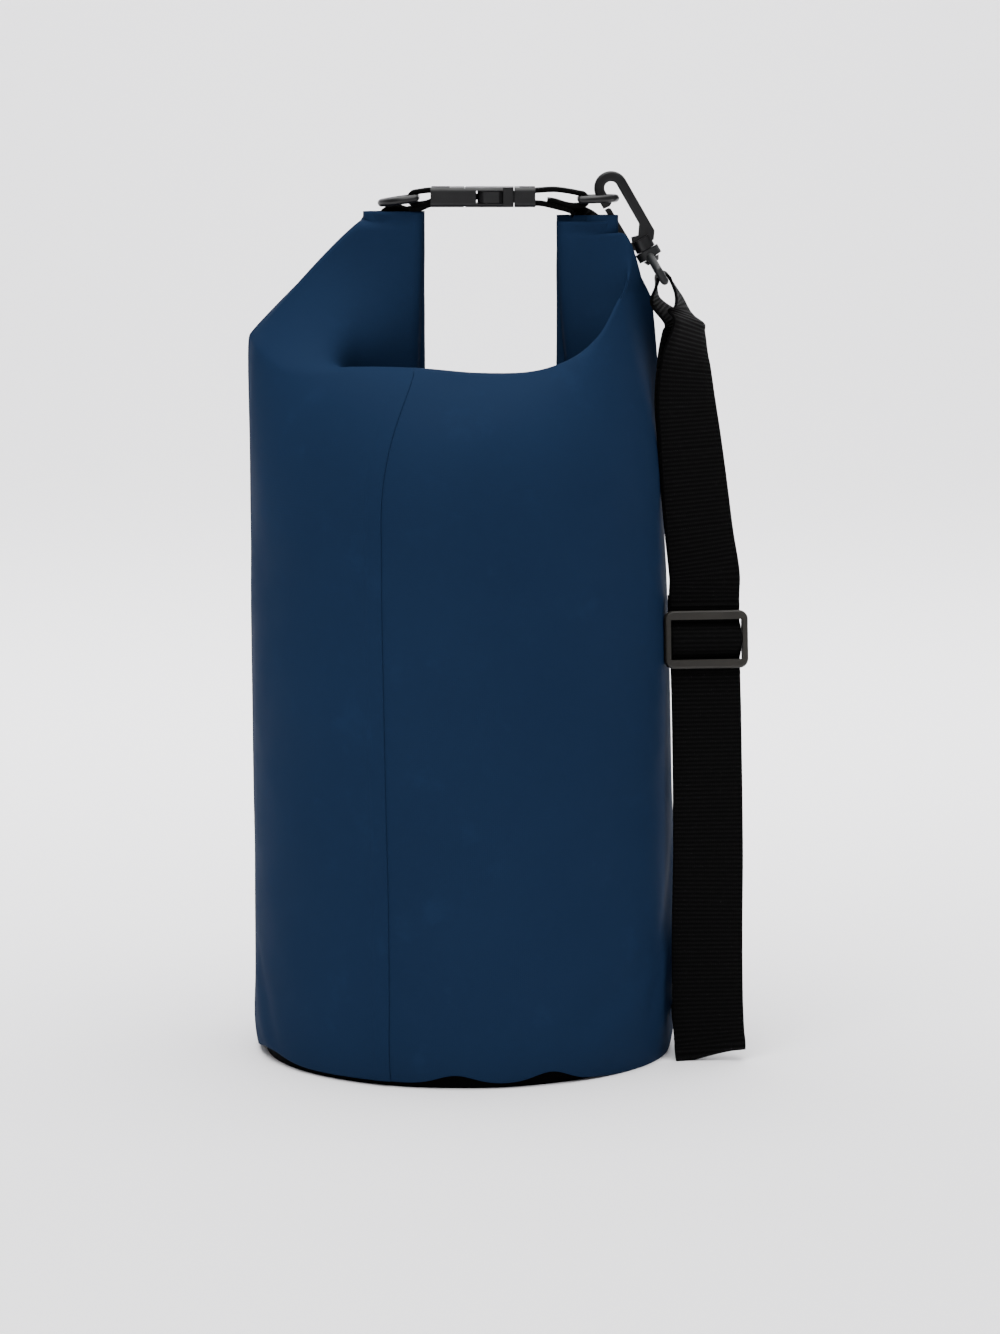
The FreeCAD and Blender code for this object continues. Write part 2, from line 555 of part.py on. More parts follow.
def hook_loop():
    """Swivelling loop: a boss round the pin, and a frame whose bar carries the strap. Bar along Y."""
    r = LOOP_ROD / 2
    side_y = LOOP_IN_W / 2 + r
    path = [Vector(0, 0, -5.3), Vector(0, 7.5, -7.2), Vector(0, side_y, -14.5), Vector(0, side_y, LOOP_BAR_Z)]
    parts = []
    for a, b in zip(path, path[1:]):
        parts += both_sides(cylinder(r, a, b.sub(a), b.sub(a).Length))
        parts += both_sides(Part.makeSphere(r, b))
    parts.append(cylinder(r, Vector(0, -side_y, LOOP_BAR_Z), Y_AXIS, 2 * side_y))
    shape = cylinder(BOSS_R, Vector(0, 0, BOSS_Z0), Z_AXIS, BOSS_H).fuse(parts)
    bore = cylinder(PIN_R + PIN_FIT, Vector(0, 0, HEAD_ROOM_Z0), Z_AXIS, -HEAD_ROOM_Z0)
    head_room = cylinder(HEAD_ROOM_R, Vector(0, 0, HEAD_ROOM_Z0), Z_AXIS, HEAD_ROOM_H)
    return one_solid(shape.cut(bore.fuse(head_room)))


def upper_hook_frame():
    a = math.radians(HOOK_LEAN)
    across, shank = Vector(math.cos(a), 0, math.sin(a)), Vector(-math.sin(a), 0, math.cos(a))
    return frame(UPPER_HOOK, across, Y_AXIS, shank)


def lower_ring_bow():
    """Middle of the lower ring's rod at its bow."""
    return LOWER_RING + lower_ring_direction() * (RING_ROD + RING_IN_L)


def lower_hook_frame():
    a = math.radians(LOWER_HOOK_TURN)
    shank = Vector(-math.cos(a), math.sin(a), 0)
    return frame(lower_ring_bow() - shank * EYE_Z, Z_AXIS.cross(shank), Z_AXIS, shank)


# ---------------------------------------------------------------- slider and shoulder strap
STRAIGHT_LOW, STRAIGHT_HIGH = Vector(131.7, -30.5, 150), Vector(130.2, -19.6, 260)
SLIDER_TWIST = 10.0        # degrees that the straight stretch faces away from the front


def strap_run():
    """Direction of the straight stretch of the strap, upwards."""
    return STRAIGHT_HIGH.sub(STRAIGHT_LOW).normalize()


def slider_frame():
    v = strap_run()
    a = math.radians(SLIDER_TWIST)
    u = Vector(math.cos(a), math.sin(a), 0)
    n = v.cross(u).normalize()            # towards the back
    u = n.cross(v).normalize()
    t = (SLIDER_AT - STRAIGHT_LOW.z) / (STRAIGHT_HIGH.z - STRAIGHT_LOW.z)
    middle = STRAIGHT_LOW + STRAIGHT_HIGH.sub(STRAIGHT_LOW) * t
    return frame(middle, u, v, u.cross(v))


def slider():
    """Three-bar slider. Local X across the strap, Y up the strap, Z to the strap's front face."""
    w, h, inner = SLIDER_W / 2, SLIDER_H / 2, SLIDER_IN_W / 2
    plate = box(-w, w, -h, h, SLIDER_BACK, SLIDER_FRONT)
    plate = rounded(plate, SLIDER_CORNER_R, lambda e: along(e, Z_AXIS))
    plate = rounded(plate, 1.3, lambda e: abs(e.CenterOfMass.z - SLIDER_FRONT) < CLOSE)
    slots = box(-inner, inner, SLIDER_BAR - h, h - SLIDER_BAR, SLIDER_BACK - OVER, SLIDER_FRONT + OVER)
    cross = box(-w + 2, w - 2, -CROSS_H / 2, CROSS_H / 2, CROSS_BACK, CROSS_FRONT)
    cross = rounded(cross, 0.9, lambda e: along(e, X_AXIS))
    end_pieces = box(0.6 - w, w - 0.6, -3.6, 3.6, CROSS_BACK, 0).cut(
        box(-inner - 0.2, inner + 0.2, -4, 4, CROSS_BACK - OVER, OVER))
    return one_solid(plate.cut(slots).fuse([cross, end_pieces]))


# The strap's hand-chosen route. Upper stretch: middle of the pair of layers, the angle that the width
# makes with X, and how far each layer lies from that middle.
UPPER_SPINE = [
    (Vector(128.4, -17.0, 285), 24, 1.3), (Vector(126.2, -14.0, 310), 33, 1.4),
    (Vector(123.4, -10.6, 335), 42, 1.5), (Vector(121.9, -7.2, 358), 50, 1.6),
    (Vector(121.2, -4.2, 378), 58, 1.9), (Vector(119.0, -1.8, 394), 68, 4.6),
]
# At the slider, (along the strap, out of its front) in the slider's own frame: the sewn end round the
# middle bar and the back layer that it becomes, then the front layer over the outer bars.
SEWN_END = [(24.0, -6.6), (12.0, -7.0), (4.0, -7.0), (-1.6, -6.5), (-4.0, -4.6), (-4.3, -1.6), (-2.6, 0.85),
            (1.4, 0.85), (4.1, -0.9), (5.6, -3.3), (9.0, -4.4), (16.0, -4.7), (24.0, -3.8)]
OVER_SLIDER = [(24.0, -1.2), (15.0, -2.3), (10.8, -2.3), (6.4, 1.0), (2.4, 3.1), (-2.4, 3.1), (-6.4, 1.0),
               (-10.8, -2.3), (-15.0, -2.3), (-24.0, -1.0), (-40.0, 0)]
UPPER_TURN = (160, 125, 90, 55, 20, -15)            # degrees round the upper loop's bar
LOWER_TURN = (-15, 20, 55, 90, 125, 160, 195)       # and round the lower one's
LOWER_TAIL = [(2.8, 9.0), (1.6, 20.0), (3.2, 32.0)]   # the sewn tail, back from the lower bar
# The single layer down to the fold by the floor and back up behind the bag: middle, and width direction.
LOWER_ROWS = [
    ((132.9, -32.6, 118), (0.995, 0.10, 0)), ((133.3, -36.4, 78), (0.998, 0.06, 0)),
    ((133.5, -39.6, 40), (0.998, 0.02, 0.05)), ((133.6, -41.4, 20), (0.978, 0, 0.21)),
    ((133.6, -41.6, 12.6), (0.966, 0, 0.26)), ((133.7, -40.4, 8.6), (0.966, 0, 0.26)),
    ((133.7, -38.0, 7.4), (0.966, 0, 0.26)), ((133.7, -35.6, 8.8), (0.966, 0, 0.26)),
    ((133.5, -34.2, 13.0), (0.964, 0.02, 0.27)), ((132.9, -32.4, 21), (0.94, 0.05, 0.33)),
    ((131.9, -28.6, 30), (0.85, 0.12, 0.51)), ((130.9, -22.0, 38.5), (0.68, 0.16, 0.72)),
    ((130.0, -12.0, 45.5), (0.44, 0.13, 0.89)), ((129.2, 1.0, 50.5), (0.2, 0.05, 0.98)),
    ((127.6, 18.0, 54.0), (0.06, 0, 1)), ((123.2, 38.0, 56.6), (0, 0, 1)), ((115.8, 57.0, 58.4), (0, 0, 1)),
    ((105.6, 74.6, 59.6), (0, 0, 1)), ((94.0, 89.0, 60.0), (0, 0, 1)),
]


def at_slider(rows):
    """Strap stations at the slider, from (along the strap, out of its front) pairs."""
    place = slider_frame()
    across = place.Rotation.multVec(X_AXIS)
    return [(place.multVec(Vector(0, v, n)), across) for v, n in rows]


def upper_layers():
    """Stations of the back and the front layer of the doubled stretch, both from the slider upwards."""
    middles = [STRAIGHT_HIGH] + [row[0] for row in UPPER_SPINE]
    middles.append(middles[-1])
    back, front = [], []
    for i, (middle, angle, apart) in enumerate(UPPER_SPINE):
        a = math.radians(angle)
        width = Vector(math.cos(a), math.sin(a), 0)
        out = width.cross(middles[i + 2].sub(middles[i])).normalize()
        back.append((middle - out * apart, width))
        front.append((middle + out * apart, width))
    return back, front


def round_bar(place, angles, width):
    """Stations of the strap round a hook loop's bar, at angles in the loop's XZ plane."""
    reach = LOOP_ROD / 2 + 0.5 + WEB_T / 2
    stations = []
    for a in (math.radians(angle) for angle in angles):
        at = Vector(math.cos(a) * reach, 0, LOOP_BAR_Z + math.sin(a) * reach)
        stations.append((place.multVec(at), width))
    return stations


def strap_rows():
    """Stations of the whole strap, from the end sewn round the slider's middle bar to the lower hook."""
    back, front = upper_layers()
    upper_bar = upper_hook_frame().multVec(Vector(0, 0, LOOP_BAR_Z))
    rows = at_slider(SEWN_END) + back
    rows.append((upper_bar + Vector(-4.0, 0, -11.5), Vector(0.05, 1, 0)))
    rows += round_bar(upper_hook_frame(), UPPER_TURN, Y_AXIS)
    rows.append((upper_bar + Vector(7.6, 0, -8.0), Vector(0.03, 1, 0)))
    rows.append((upper_bar + Vector(11.2, -0.2, -17.0), Vector(0.08, 1, 0)))
    rows += front[::-1] + at_slider(OVER_SLIDER)
    rows += [(Vector(*middle), Vector(*width)) for middle, width in LOWER_ROWS]
    lower = lower_hook_frame()
    rows += round_bar(lower, LOWER_TURN, Z_AXIS)
    rows += [(lower.multVec(Vector(-x, 0, LOOP_BAR_Z - z)), Z_AXIS) for x, z in LOWER_TAIL]
    return rows


def shoulder_strap():
    """The strap as one solid, a ruled loft along its whole route."""
    return ribbon([(middle, across, STRAP_W) for middle, across in strap_rows()], WEB_T)


# ---------------------------------------------------------------- lower anchor on the back wall
def on_wall(radius, x):
    """Point of a circle about the bag's axis, on its back, at x."""
    return (x, math.sqrt(radius ** 2 - x ** 2))


def anchor_patch():
    outer = Part.makeCylinder(PATCH_R + PATCH_T, PATCH_H, Vector(0, 0, PATCH_Z0), Z_AXIS, PATCH_SPAN)
    inner = Part.makeCylinder(PATCH_R, PATCH_H + 2 * OVER, Vector(0, 0, PATCH_Z0 - OVER), Z_AXIS)
    patch = outer.cut(inner)
    patch.rotate(ORIGIN, Z_AXIS, PATCH_FROM)
    return one_solid(patch)


def anchor_tab():
    """Webbing folded round the lower ring's bar and sewn to the patch."""
    inner_r = PATCH_R + PATCH_T + 0.15 + WEB_T / 2
    outer_r = inner_r + WEB_T + 0.2
    inner = [on_wall(inner_r, x) for x in (-30, -24, -18, -12, -6, -1)]
    bar = (LOWER_RING.x, LOWER_RING.y)
    around = arc_points(bar, web_round(RING_ROD), -80, 100, RING_TURN_STEPS)
    outer = [on_wall(outer_r + 1.4, -3.5)] + [on_wall(outer_r, x) for x in (-8, -12, -18, -24, -29)]
    outline = band_outline(inner + around + outer, WEB_T)
    face = polygon_face([Vector(x, y, LOWER_RING.z - LIP_W / 2) for x, y in outline])
    return one_solid(face.extrude(Vector(0, 0, LIP_W)))


# ---------------------------------------------------------------- build
def build():
    upper, lower = upper_hook_frame(), lower_hook_frame()
    return {
        "wall_panel": wall_panel(),
        "base_panel": base_panel(),
        "closure_roll": closure_roll(),
        "lip_stiffener_front": lip_stiffener(-1),
        "lip_stiffener_back": lip_stiffener(1),
        "closure_webbing": closure_webbing(),
        "buckle_socket": buckle_socket(),
        "buckle_plug": buckle_plug(),
        "buckle_arm_front": buckle_arm(-1),
        "buckle_arm_back": buckle_arm(1),
        "left_d_ring": left_ring(),
        "right_d_ring": right_ring(),
        "upper_hook_body": placed(hook_body(), upper),
        "upper_hook_gate": placed(hook_gate(), upper),
        "upper_swivel_loop": placed(hook_loop(), upper),
        "strap_slider": placed(slider(), slider_frame()),
        "shoulder_strap": shoulder_strap(),
        "lower_swivel_loop": placed(hook_loop(), lower),
        "lower_hook_body": placed(hook_body(), lower),
        "lower_hook_gate": placed(hook_gate(), lower),
        "lower_d_ring": lower_ring(),
        "anchor_tab": anchor_tab(),
        "anchor_patch": anchor_patch(),
    }


os.makedirs("parts", exist_ok=True)
for name, shape in build().items():
    if not shape.isValid() or len(shape.Solids) != 1:
        raise RuntimeError(f"{name} is not one valid solid")
    shape.exportStep(f"parts/{name}.step")
    print(f"{name:22s} {shape.Volume / 1000:9.2f} cm3")
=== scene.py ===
"""Looks of the roll-top rope storage bag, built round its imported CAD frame. Metres, +Z up."""

import json
import math
from functools import partial

import bpy
import numpy as np
from bpy.props import FloatProperty, FloatVectorProperty, IntProperty, PointerProperty
from bpy.types import Operator, Panel, PropertyGroup
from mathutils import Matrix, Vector


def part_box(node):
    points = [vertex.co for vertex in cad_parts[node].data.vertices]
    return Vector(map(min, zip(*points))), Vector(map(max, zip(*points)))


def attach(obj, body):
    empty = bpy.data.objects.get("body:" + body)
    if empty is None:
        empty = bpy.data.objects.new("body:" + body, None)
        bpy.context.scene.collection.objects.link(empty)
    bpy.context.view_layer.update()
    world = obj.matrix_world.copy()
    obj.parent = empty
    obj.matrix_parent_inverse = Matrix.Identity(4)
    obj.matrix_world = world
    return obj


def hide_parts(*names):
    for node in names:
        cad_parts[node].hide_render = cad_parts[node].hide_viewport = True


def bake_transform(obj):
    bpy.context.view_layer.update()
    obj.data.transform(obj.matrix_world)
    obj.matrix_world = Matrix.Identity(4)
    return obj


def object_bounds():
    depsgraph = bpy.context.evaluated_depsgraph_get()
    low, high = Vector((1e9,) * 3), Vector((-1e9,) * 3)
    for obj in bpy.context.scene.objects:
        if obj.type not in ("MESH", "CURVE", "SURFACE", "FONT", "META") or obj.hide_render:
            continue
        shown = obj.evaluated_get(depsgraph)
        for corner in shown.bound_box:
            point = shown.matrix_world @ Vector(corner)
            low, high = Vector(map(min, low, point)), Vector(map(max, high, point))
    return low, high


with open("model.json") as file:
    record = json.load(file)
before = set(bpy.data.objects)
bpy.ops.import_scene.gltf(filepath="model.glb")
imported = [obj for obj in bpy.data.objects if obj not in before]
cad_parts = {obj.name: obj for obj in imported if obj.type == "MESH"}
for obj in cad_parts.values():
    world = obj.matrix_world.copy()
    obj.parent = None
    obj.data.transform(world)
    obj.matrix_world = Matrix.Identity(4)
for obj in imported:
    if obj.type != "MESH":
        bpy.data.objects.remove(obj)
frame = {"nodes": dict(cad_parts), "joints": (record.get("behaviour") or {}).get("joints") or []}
CAD_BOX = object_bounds()

bl_info = {
    "name": "Rope storage bag",
    "version": (1, 0, 0),
    "blender": (4, 5, 0),
    "location": "View3D > Sidebar > Rope bag",
    "description": "Builds a roll-top rope storage bag with its buckled closure and shoulder strap",
    "category": "Object",
}

MM = 0.001
UP, BACKWARD = Vector((0, 0, 1)), Vector((0, 1, 0))
JOINTS = {j["name"]: j for j in frame["joints"]}


# ---------------------------------------------------------------- colours
def hex_colour(text):
    """An sRGB hex value as the linear colour that a shader wants, with alpha."""
    channels = [int(text[i:i + 2], 16) / 255 for i in (1, 3, 5)]
    linear = [c / 12.92 if c <= 0.04045 else ((c + 0.055) / 1.055) ** 2.4 for c in channels]
    return (*linear, 1.0)


def colour_setting(name, description, hex_text):
    return FloatVectorProperty(name=name, description=description, subtype="COLOR", size=4, min=0, max=1,
                               default=hex_colour(hex_text))


def length_setting(name, description, millimetres):
    return FloatProperty(name=name, description=description, subtype="DISTANCE", unit="LENGTH",
                         default=millimetres * MM, min=0)


# ---------------------------------------------------------------- settings
class BagSettings(PropertyGroup):
    """Sizes and colours of the bag's body and its rolled closure"""
    wall_colour: colour_setting("Wall colour", "Colour of the coated fabric", "#15243a")
    base_colour: colour_setting("Base colour", "Colour of the base's coated fabric", "#050506")
    wall_thickness: length_setting("Wall thickness", "Thickness of the coated fabric", 0.8)
    yarn_pitch: length_setting("Yarn pitch", "Spacing of the scrim yarns that show through the coating", 1.1)
    weld_width: length_setting("Weld width", "Width of the lap weld down the front", 9.0)
    weld_step: length_setting("Weld step", "How far the lapped layer stands out", 0.8)
    closure_turns: IntProperty(name="Closure turns", description="How often the lip is rolled over", default=3,
                               min=1, max=6)


class WebbingSettings(PropertyGroup):
    """Sizes and colours of the webbing"""
    strap_width: length_setting("Strap width", "Width of the shoulder strap's webbing", 38.0)
    lip_width: length_setting("Closure webbing width", "Width of the closure's and the anchor's webbing", 25.0)
    thickness: length_setting("Webbing thickness", "Thickness of all the webbing", 1.6)
    rib_pitch: length_setting("Rib pitch", "Spacing of the ribs across the strap", 2.3)
    stitch_length: length_setting("Stitch length", "Length of one stitch", 3.0)
    webbing_colour: colour_setting("Webbing colour", "Colour of the polypropylene webbing", "#040404")
    thread_colour: colour_setting("Thread colour", "Colour of the polyester thread", "#111112")


class HardwareSettings(PropertyGroup):
    """Colours of the moulded hardware"""
    buckle_colour: colour_setting("Buckle colour", "Colour of the side-release buckle", "#0c0c0d")
    hook_colour: colour_setting("Hook colour", "Colour of the swivel hooks and D-rings", "#0c0c0d")
    swivel_colour: colour_setting("Swivel colour", "Colour of the swivels' loops", "#151617")
    slider_colour: colour_setting("Slider colour", "Colour of the three-bar slider", "#1f1d19")


class StageSettings(PropertyGroup):
    """The plain floor, light and camera"""
    floor_colour: colour_setting("Floor colour", "Colour of the seamless floor and backdrop", "#fefdff")
    camera_distance: length_setting("Camera distance", "From the bag's middle to the camera", 2400.0)
    camera_elevation: FloatProperty(name="Camera elevation", description="Height of the view above the horizon",
                                    subtype="ANGLE", unit="ROTATION", default=math.radians(7.5))
    camera_lens: FloatProperty(name="Camera lens", description="Focal length on a 36 mm sensor, in millimetres",
                               default=120.0, min=10)


# ---------------------------------------------------------------- nodes and materials
# What a kind of node always gets here: its settings, the inputs that its values go to, and the output read.
KINDS = {
    "Mix": ({"data_type": "RGBA"}, (0, 6, 7), 2),
    "MapRange": ({"interpolation_type": "SMOOTHSTEP"}, range(5), 0),
    "TexNoise": ({}, ("Vector", "Scale", "Detail", "Roughness"), 0),
    "Mapping": ({}, ("Vector", "Scale"), 0),
    "Bump": ({}, ("Strength", "Distance", "Height"), 0),
    "TexCoord": ({}, (), "Object"),
    "UVMap": ({"uv_map": "cloth"}, (), 0),
}


def add_node(tree, kind, *values, inputs=None):
    """Adds a shader node and returns one of its outputs. A kind in capitals is an operation of the Math node.

    Each value or link goes to an input, in order or, from inputs, by name.
    """
    maths = kind.isupper()
    settings, keys, output = KINDS.get(kind, ({"operation": kind} if maths else {}, range(len(values)), 0))
    node = tree.nodes.new("ShaderNodeMath" if maths else "ShaderNode" + kind)
    for key, value in settings.items():
        setattr(node, key, value)
    for key, value in [*zip(keys, values), *(inputs or {}).items()]:
        if isinstance(value, bpy.types.NodeSocket):
            tree.links.new(value, node.inputs[key])
        else:
            node.inputs[key].default_value = value
    return node.outputs[output] if node.outputs else None


def new_material(name):
    """An empty material, add_node for its tree, and the place on the object that its patterns start from."""
    material = bpy.data.materials.new(name)
    material.use_nodes = True
    material.node_tree.nodes.clear()
    add = partial(add_node, material.node_tree)
    return material, add, add("TexCoord")


def finish(material, add, inputs):
    """Ends a material's tree with its main shader."""
    add("OutputMaterial", add("BsdfPrincipled", inputs=inputs))
    return material


def shade(colour, factor):
    return (colour[0] * factor, colour[1] * factor, colour[2] * factor, 1.0)


def yarn_wave(add, coordinate, pitch):
    """Rises and falls between 0 and 1 once per pitch of a coordinate in metres."""
    return add("MULTIPLY_ADD", add("SINE", add("MULTIPLY", coordinate, 2 * math.pi / pitch)), 0.5, 0.5)


def fabric_coordinates(add):
    """Across and along the cloth, in metres, from the piece's own layout."""
    layout = add("UVMap")
    across = add("SeparateXYZ", layout)
    return across, across.node.outputs["Y"], layout


def pvc_tarpaulin(name, colour, pitch):
    """PVC-coated polyester, calendered: an even matt skin with the scrim's fine grid showing through.

    The eye reads faint print-through of the yarns and rub marks a shade paler. The fine embossing breaks up
    nearly all of the gloss, so the specular level is far below that of a smooth plastic.
    """
    material, add, place = new_material(name)
    across, along, _ = fabric_coordinates(add)
    grid = add("MAXIMUM", yarn_wave(add, across, pitch), yarn_wave(add, along, pitch))
    scuffs = add("MapRange", add("TexNoise", place, 38.0, 6.0, 0.65), 0.56, 0.72, 0.0, 1.0)
    base = add("Mix", add("TexNoise", place, 9.0, 4.0), shade(colour, 0.86), shade(colour, 1.12))
    printed = add("Mix", add("MULTIPLY", grid, 0.16), base, shade(colour, 0.62))
    worn = add("Mix", add("MULTIPLY", scuffs, 0.10), printed, shade(colour, 1.9))
    patches = add("MapRange", add("TexNoise", place, 24.0, 4.0), 0.3, 0.7, 0.58, 0.70)
    height = add("MULTIPLY_ADD", add("TexNoise", place, 900.0, 2.0), 0.5, add("MULTIPLY", grid, 0.6))
    return finish(material, add, {
        "Base Color": worn, "Roughness": add("MULTIPLY_ADD", scuffs, 0.06, patches),
        "Normal": add("Bump", 0.22, 0.10 * MM, height), "IOR": 1.53, "Specular IOR Level": 0.008})


def ribbed_webbing(name, colour, rib_pitch, selvedge):
    """Polypropylene webbing, woven with ribs across it: dull black with a rib of light at each pick.

    Each rib is a row of slanted yarns, and the two edges are a plain, tighter selvedge.
    """
    material, add, _ = new_material(name)
    across, along, layout = fabric_coordinates(add)
    yarns = yarn_wave(add, add("MULTIPLY_ADD", along, 0.45, across), 1.15 * MM)
    edge = add("MapRange", add("ABSOLUTE", across), selvedge - 0.8 * MM, selvedge, 0.0, 1.0)
    crown = add("MULTIPLY", yarn_wave(add, along, rib_pitch), add("MULTIPLY_ADD", yarns, 0.4, 0.6))
    weave = add("MULTIPLY", crown, add("MULTIPLY_ADD", edge, -0.7, 1.0))
    fuzz = add("TexNoise", layout, 2600.0, 2.0)
    base = add("Mix", weave, shade(colour, 0.42), shade(colour, 1.7))
    mottled = add("Mix", add("MULTIPLY", fuzz, 0.35), base, shade(colour, 1.3))
    return finish(material, add, {
        "Base Color": mottled, "Roughness": add("MapRange", weave, 0.0, 1.0, 0.92, 0.66),
        "Normal": add("Bump", 0.8, 0.35 * MM, add("MULTIPLY_ADD", fuzz, 0.25, weave)), "IOR": 1.49,
        "Specular IOR Level": 0.05, "Sheen Weight": 0.005, "Sheen Roughness": 0.5})


def twisted_thread(name, colour):
    """Bonded polyester thread, three-ply: slanted plies catch small lights along each stitch."""
    material, add, place = new_material(name)
    x = add("SeparateXYZ", place)
    slanted = add("ADD", x, add("ADD", x.node.outputs["Y"], x.node.outputs["Z"]))
    plies = yarn_wave(add, slanted, 0.6 * MM)
    return finish(material, add, {
        "Base Color": add("Mix", plies, shade(colour, 0.6), shade(colour, 1.5)),
        "Normal": add("Bump", 0.6, 0.12 * MM, plies), "Roughness": 0.55, "IOR": 1.57})


def moulded_plastic(name, colour, gloss):
    """Acetal or polyethylene, moulded in a lightly sparked tool: a fine even grain under a low satin sheen.

    Handling polishes it in patches, and hairline scratches show only where the light rakes.
    """
    material, add, place = new_material(name)
    patches = add("TexNoise", place, 85.0, 3.0)
    lines = add("TexNoise", add("Mapping", place, (60.0, 900.0, 500.0)), 1.0, 4.0, 0.6)
    scratches = add("MapRange", lines, 0.64, 0.70, 0.0, 1.0)
    base = add("Mix", patches, shade(colour, 0.85), shade(colour, 1.2))
    height = add("MULTIPLY_ADD", scratches, -0.5, add("TexNoise", place, 2400.0, 2.0))
    return finish(material, add, {
        "Base Color": add("Mix", add("MULTIPLY", scratches, 0.22), base, shade(colour, 2.4)),
        "Roughness": add("MapRange", patches, 0.35, 0.65, gloss - 0.05, gloss + 0.09),
        "Normal": add("Bump", 0.28, 0.08 * MM, height), "IOR": 1.48, "Specular IOR Level": 0.3})


def seamless_paper(name, colour):
    """Studio background paper: matt, nearly white, with the faintest fibre."""
    material, add, place = new_material(name)
    base = add("Mix", add("TexNoise", place, 220.0, 3.0), shade(colour, 0.99), colour)
    return finish(material, add, {"Base Color": base, "Roughness": 0.95, "Specular IOR Level": 0.1})


MATERIALS = {}


def material_of(key, make, *values):
    """A material that several pieces share, made once."""
    if key not in MATERIALS:
        MATERIALS[key] = make(key, *values)
    return MATERIALS[key]


def wall_material(context):
    s = context.scene.rope_bag
    return material_of("pvc_tarpaulin_navy", pvc_tarpaulin, tuple(s.wall_colour), s.yarn_pitch)


def base_material(context):
    s = context.scene.rope_bag
    return material_of("pvc_tarpaulin_black", pvc_tarpaulin, tuple(s.base_colour), s.yarn_pitch)


def strap_material(context):
    s = context.scene.rope_bag_webbing
    return material_of("polypropylene_webbing_38", ribbed_webbing, tuple(s.webbing_colour), s.rib_pitch,
                       s.strap_width / 2)


def lip_webbing_material(context):
    s = context.scene.rope_bag_webbing
    return material_of("polypropylene_webbing_25", ribbed_webbing, tuple(s.webbing_colour), s.rib_pitch * 0.8,
                       s.lip_width / 2)


def thread_material(context):
    s = context.scene.rope_bag_webbing
    return material_of("bonded_polyester_thread", twisted_thread, tuple(s.thread_colour))


# ---------------------------------------------------------------- mesh helpers
def mesh_object(name, vertices, faces, material, layout=None):
    """A mesh object in the row frame. layout gives each vertex its place on the cloth, in metres."""
    mesh = bpy.data.meshes.new(name)
    mesh.from_pydata([tuple(v) for v in vertices], [], faces)
    mesh.validate()
    if layout is not None:
        uv = mesh.uv_layers.new(name="cloth")
        at = np.zeros(len(mesh.loops), np.int32)
        mesh.loops.foreach_get("vertex_index", at)
        uv.data.foreach_set("uv", np.asarray(layout, np.float32)[at].ravel())
    mesh.polygons.foreach_set("use_smooth", [True] * len(mesh.polygons))
    mesh.materials.append(material)
    obj = bpy.data.objects.new(name, mesh)
    bpy.context.scene.collection.objects.link(obj)
    return obj


def reshape(obj, kind, **settings):
    """Makes the result of a modifier the object's own mesh."""
    modifier = obj.modifiers.new(kind, kind)
    for key, value in settings.items():
        setattr(modifier, key, value)
    bpy.context.view_layer.update()
    shaped = obj.evaluated_get(bpy.context.evaluated_depsgraph_get())
    mesh = bpy.data.meshes.new_from_object(shaped)
    obj.modifiers.clear()
    obj.data = mesh


def thicken(obj, thickness):
    reshape(obj, "SOLIDIFY", thickness=thickness, offset=-1.0, use_even_offset=False)


def grid_faces(rows, columns, closed=False, start=0):
    """Quads of a grid of points that was made row by row."""
    faces = []
    for r in range(rows - 1):
        for c in range(columns if closed else columns - 1):
            d = (c + 1) % columns
            a, b = start + r * columns, start + (r + 1) * columns
            faces.append((a + c, a + d, b + d, b + c))
    return faces


def smooth_step(t):
    t = min(max(t, 0.0), 1.0)
    return t * t * (3 - 2 * t)


def curve_through(keys, values, t):
    """Value at t of a smooth curve through values at rising keys. Values are numbers or vectors."""
    i = int(np.clip(np.searchsorted(keys, t) - 1, 0, len(keys) - 2))
    a, b = keys[i], keys[i + 1]
    p, q = values[i], values[i + 1]
    before = values[i - 1] if i else p
    after = values[i + 2] if i + 2 < len(values) else q
    low = keys[i - 1] if i else a
    high = keys[i + 2] if i + 2 < len(keys) else b
    slope_a = (q - before) * (1 / (b - low))
    slope_b = (after - p) * (1 / (high - a))
    w, h = (t - a) / (b - a), b - a
    return (p * (2 * w ** 3 - 3 * w ** 2 + 1) + slope_a * (h * (w ** 3 - 2 * w ** 2 + w))
            + q * (3 * w ** 2 - 2 * w ** 3) + slope_b * (h * (w ** 3 - w ** 2)))


def bezier(p0, p1, p2, p3, t):
    u = 1 - t
    return p0 * u ** 3 + p1 * (3 * u * u * t) + p2 * (3 * u * t * t) + p3 * t ** 3


def resample(stations, spacing):
    """Evenly spaced stations along a route of (middle, width direction, width), as smooth curves.

    Each comes out as (middle, width direction, face direction, width, length so far), with the two
    directions square to the run, so that pieces cut from one route meet edge to edge.
    """
    at = [0.0]
    for a, b in zip(stations, stations[1:]):
        at.append(at[-1] + (b[0] - a[0]).length)
    count = max(2, int(round(at[-1] / spacing)))
    lengths = [at[-1] * i / count for i in range(count + 1)]
    middles, across, widths = (
        [curve_through(at, [station[k] for station in stations], t) for t in lengths] for k in range(3))
    dense = []
    for i, t in enumerate(lengths):
        run = (middles[min(i + 1, count)] - middles[max(i - 1, 0)]).normalized()
        face = across[i].cross(run).normalized()
        dense.append((middles[i], run.cross(face).normalized(), face, widths[i], t))
    return dense


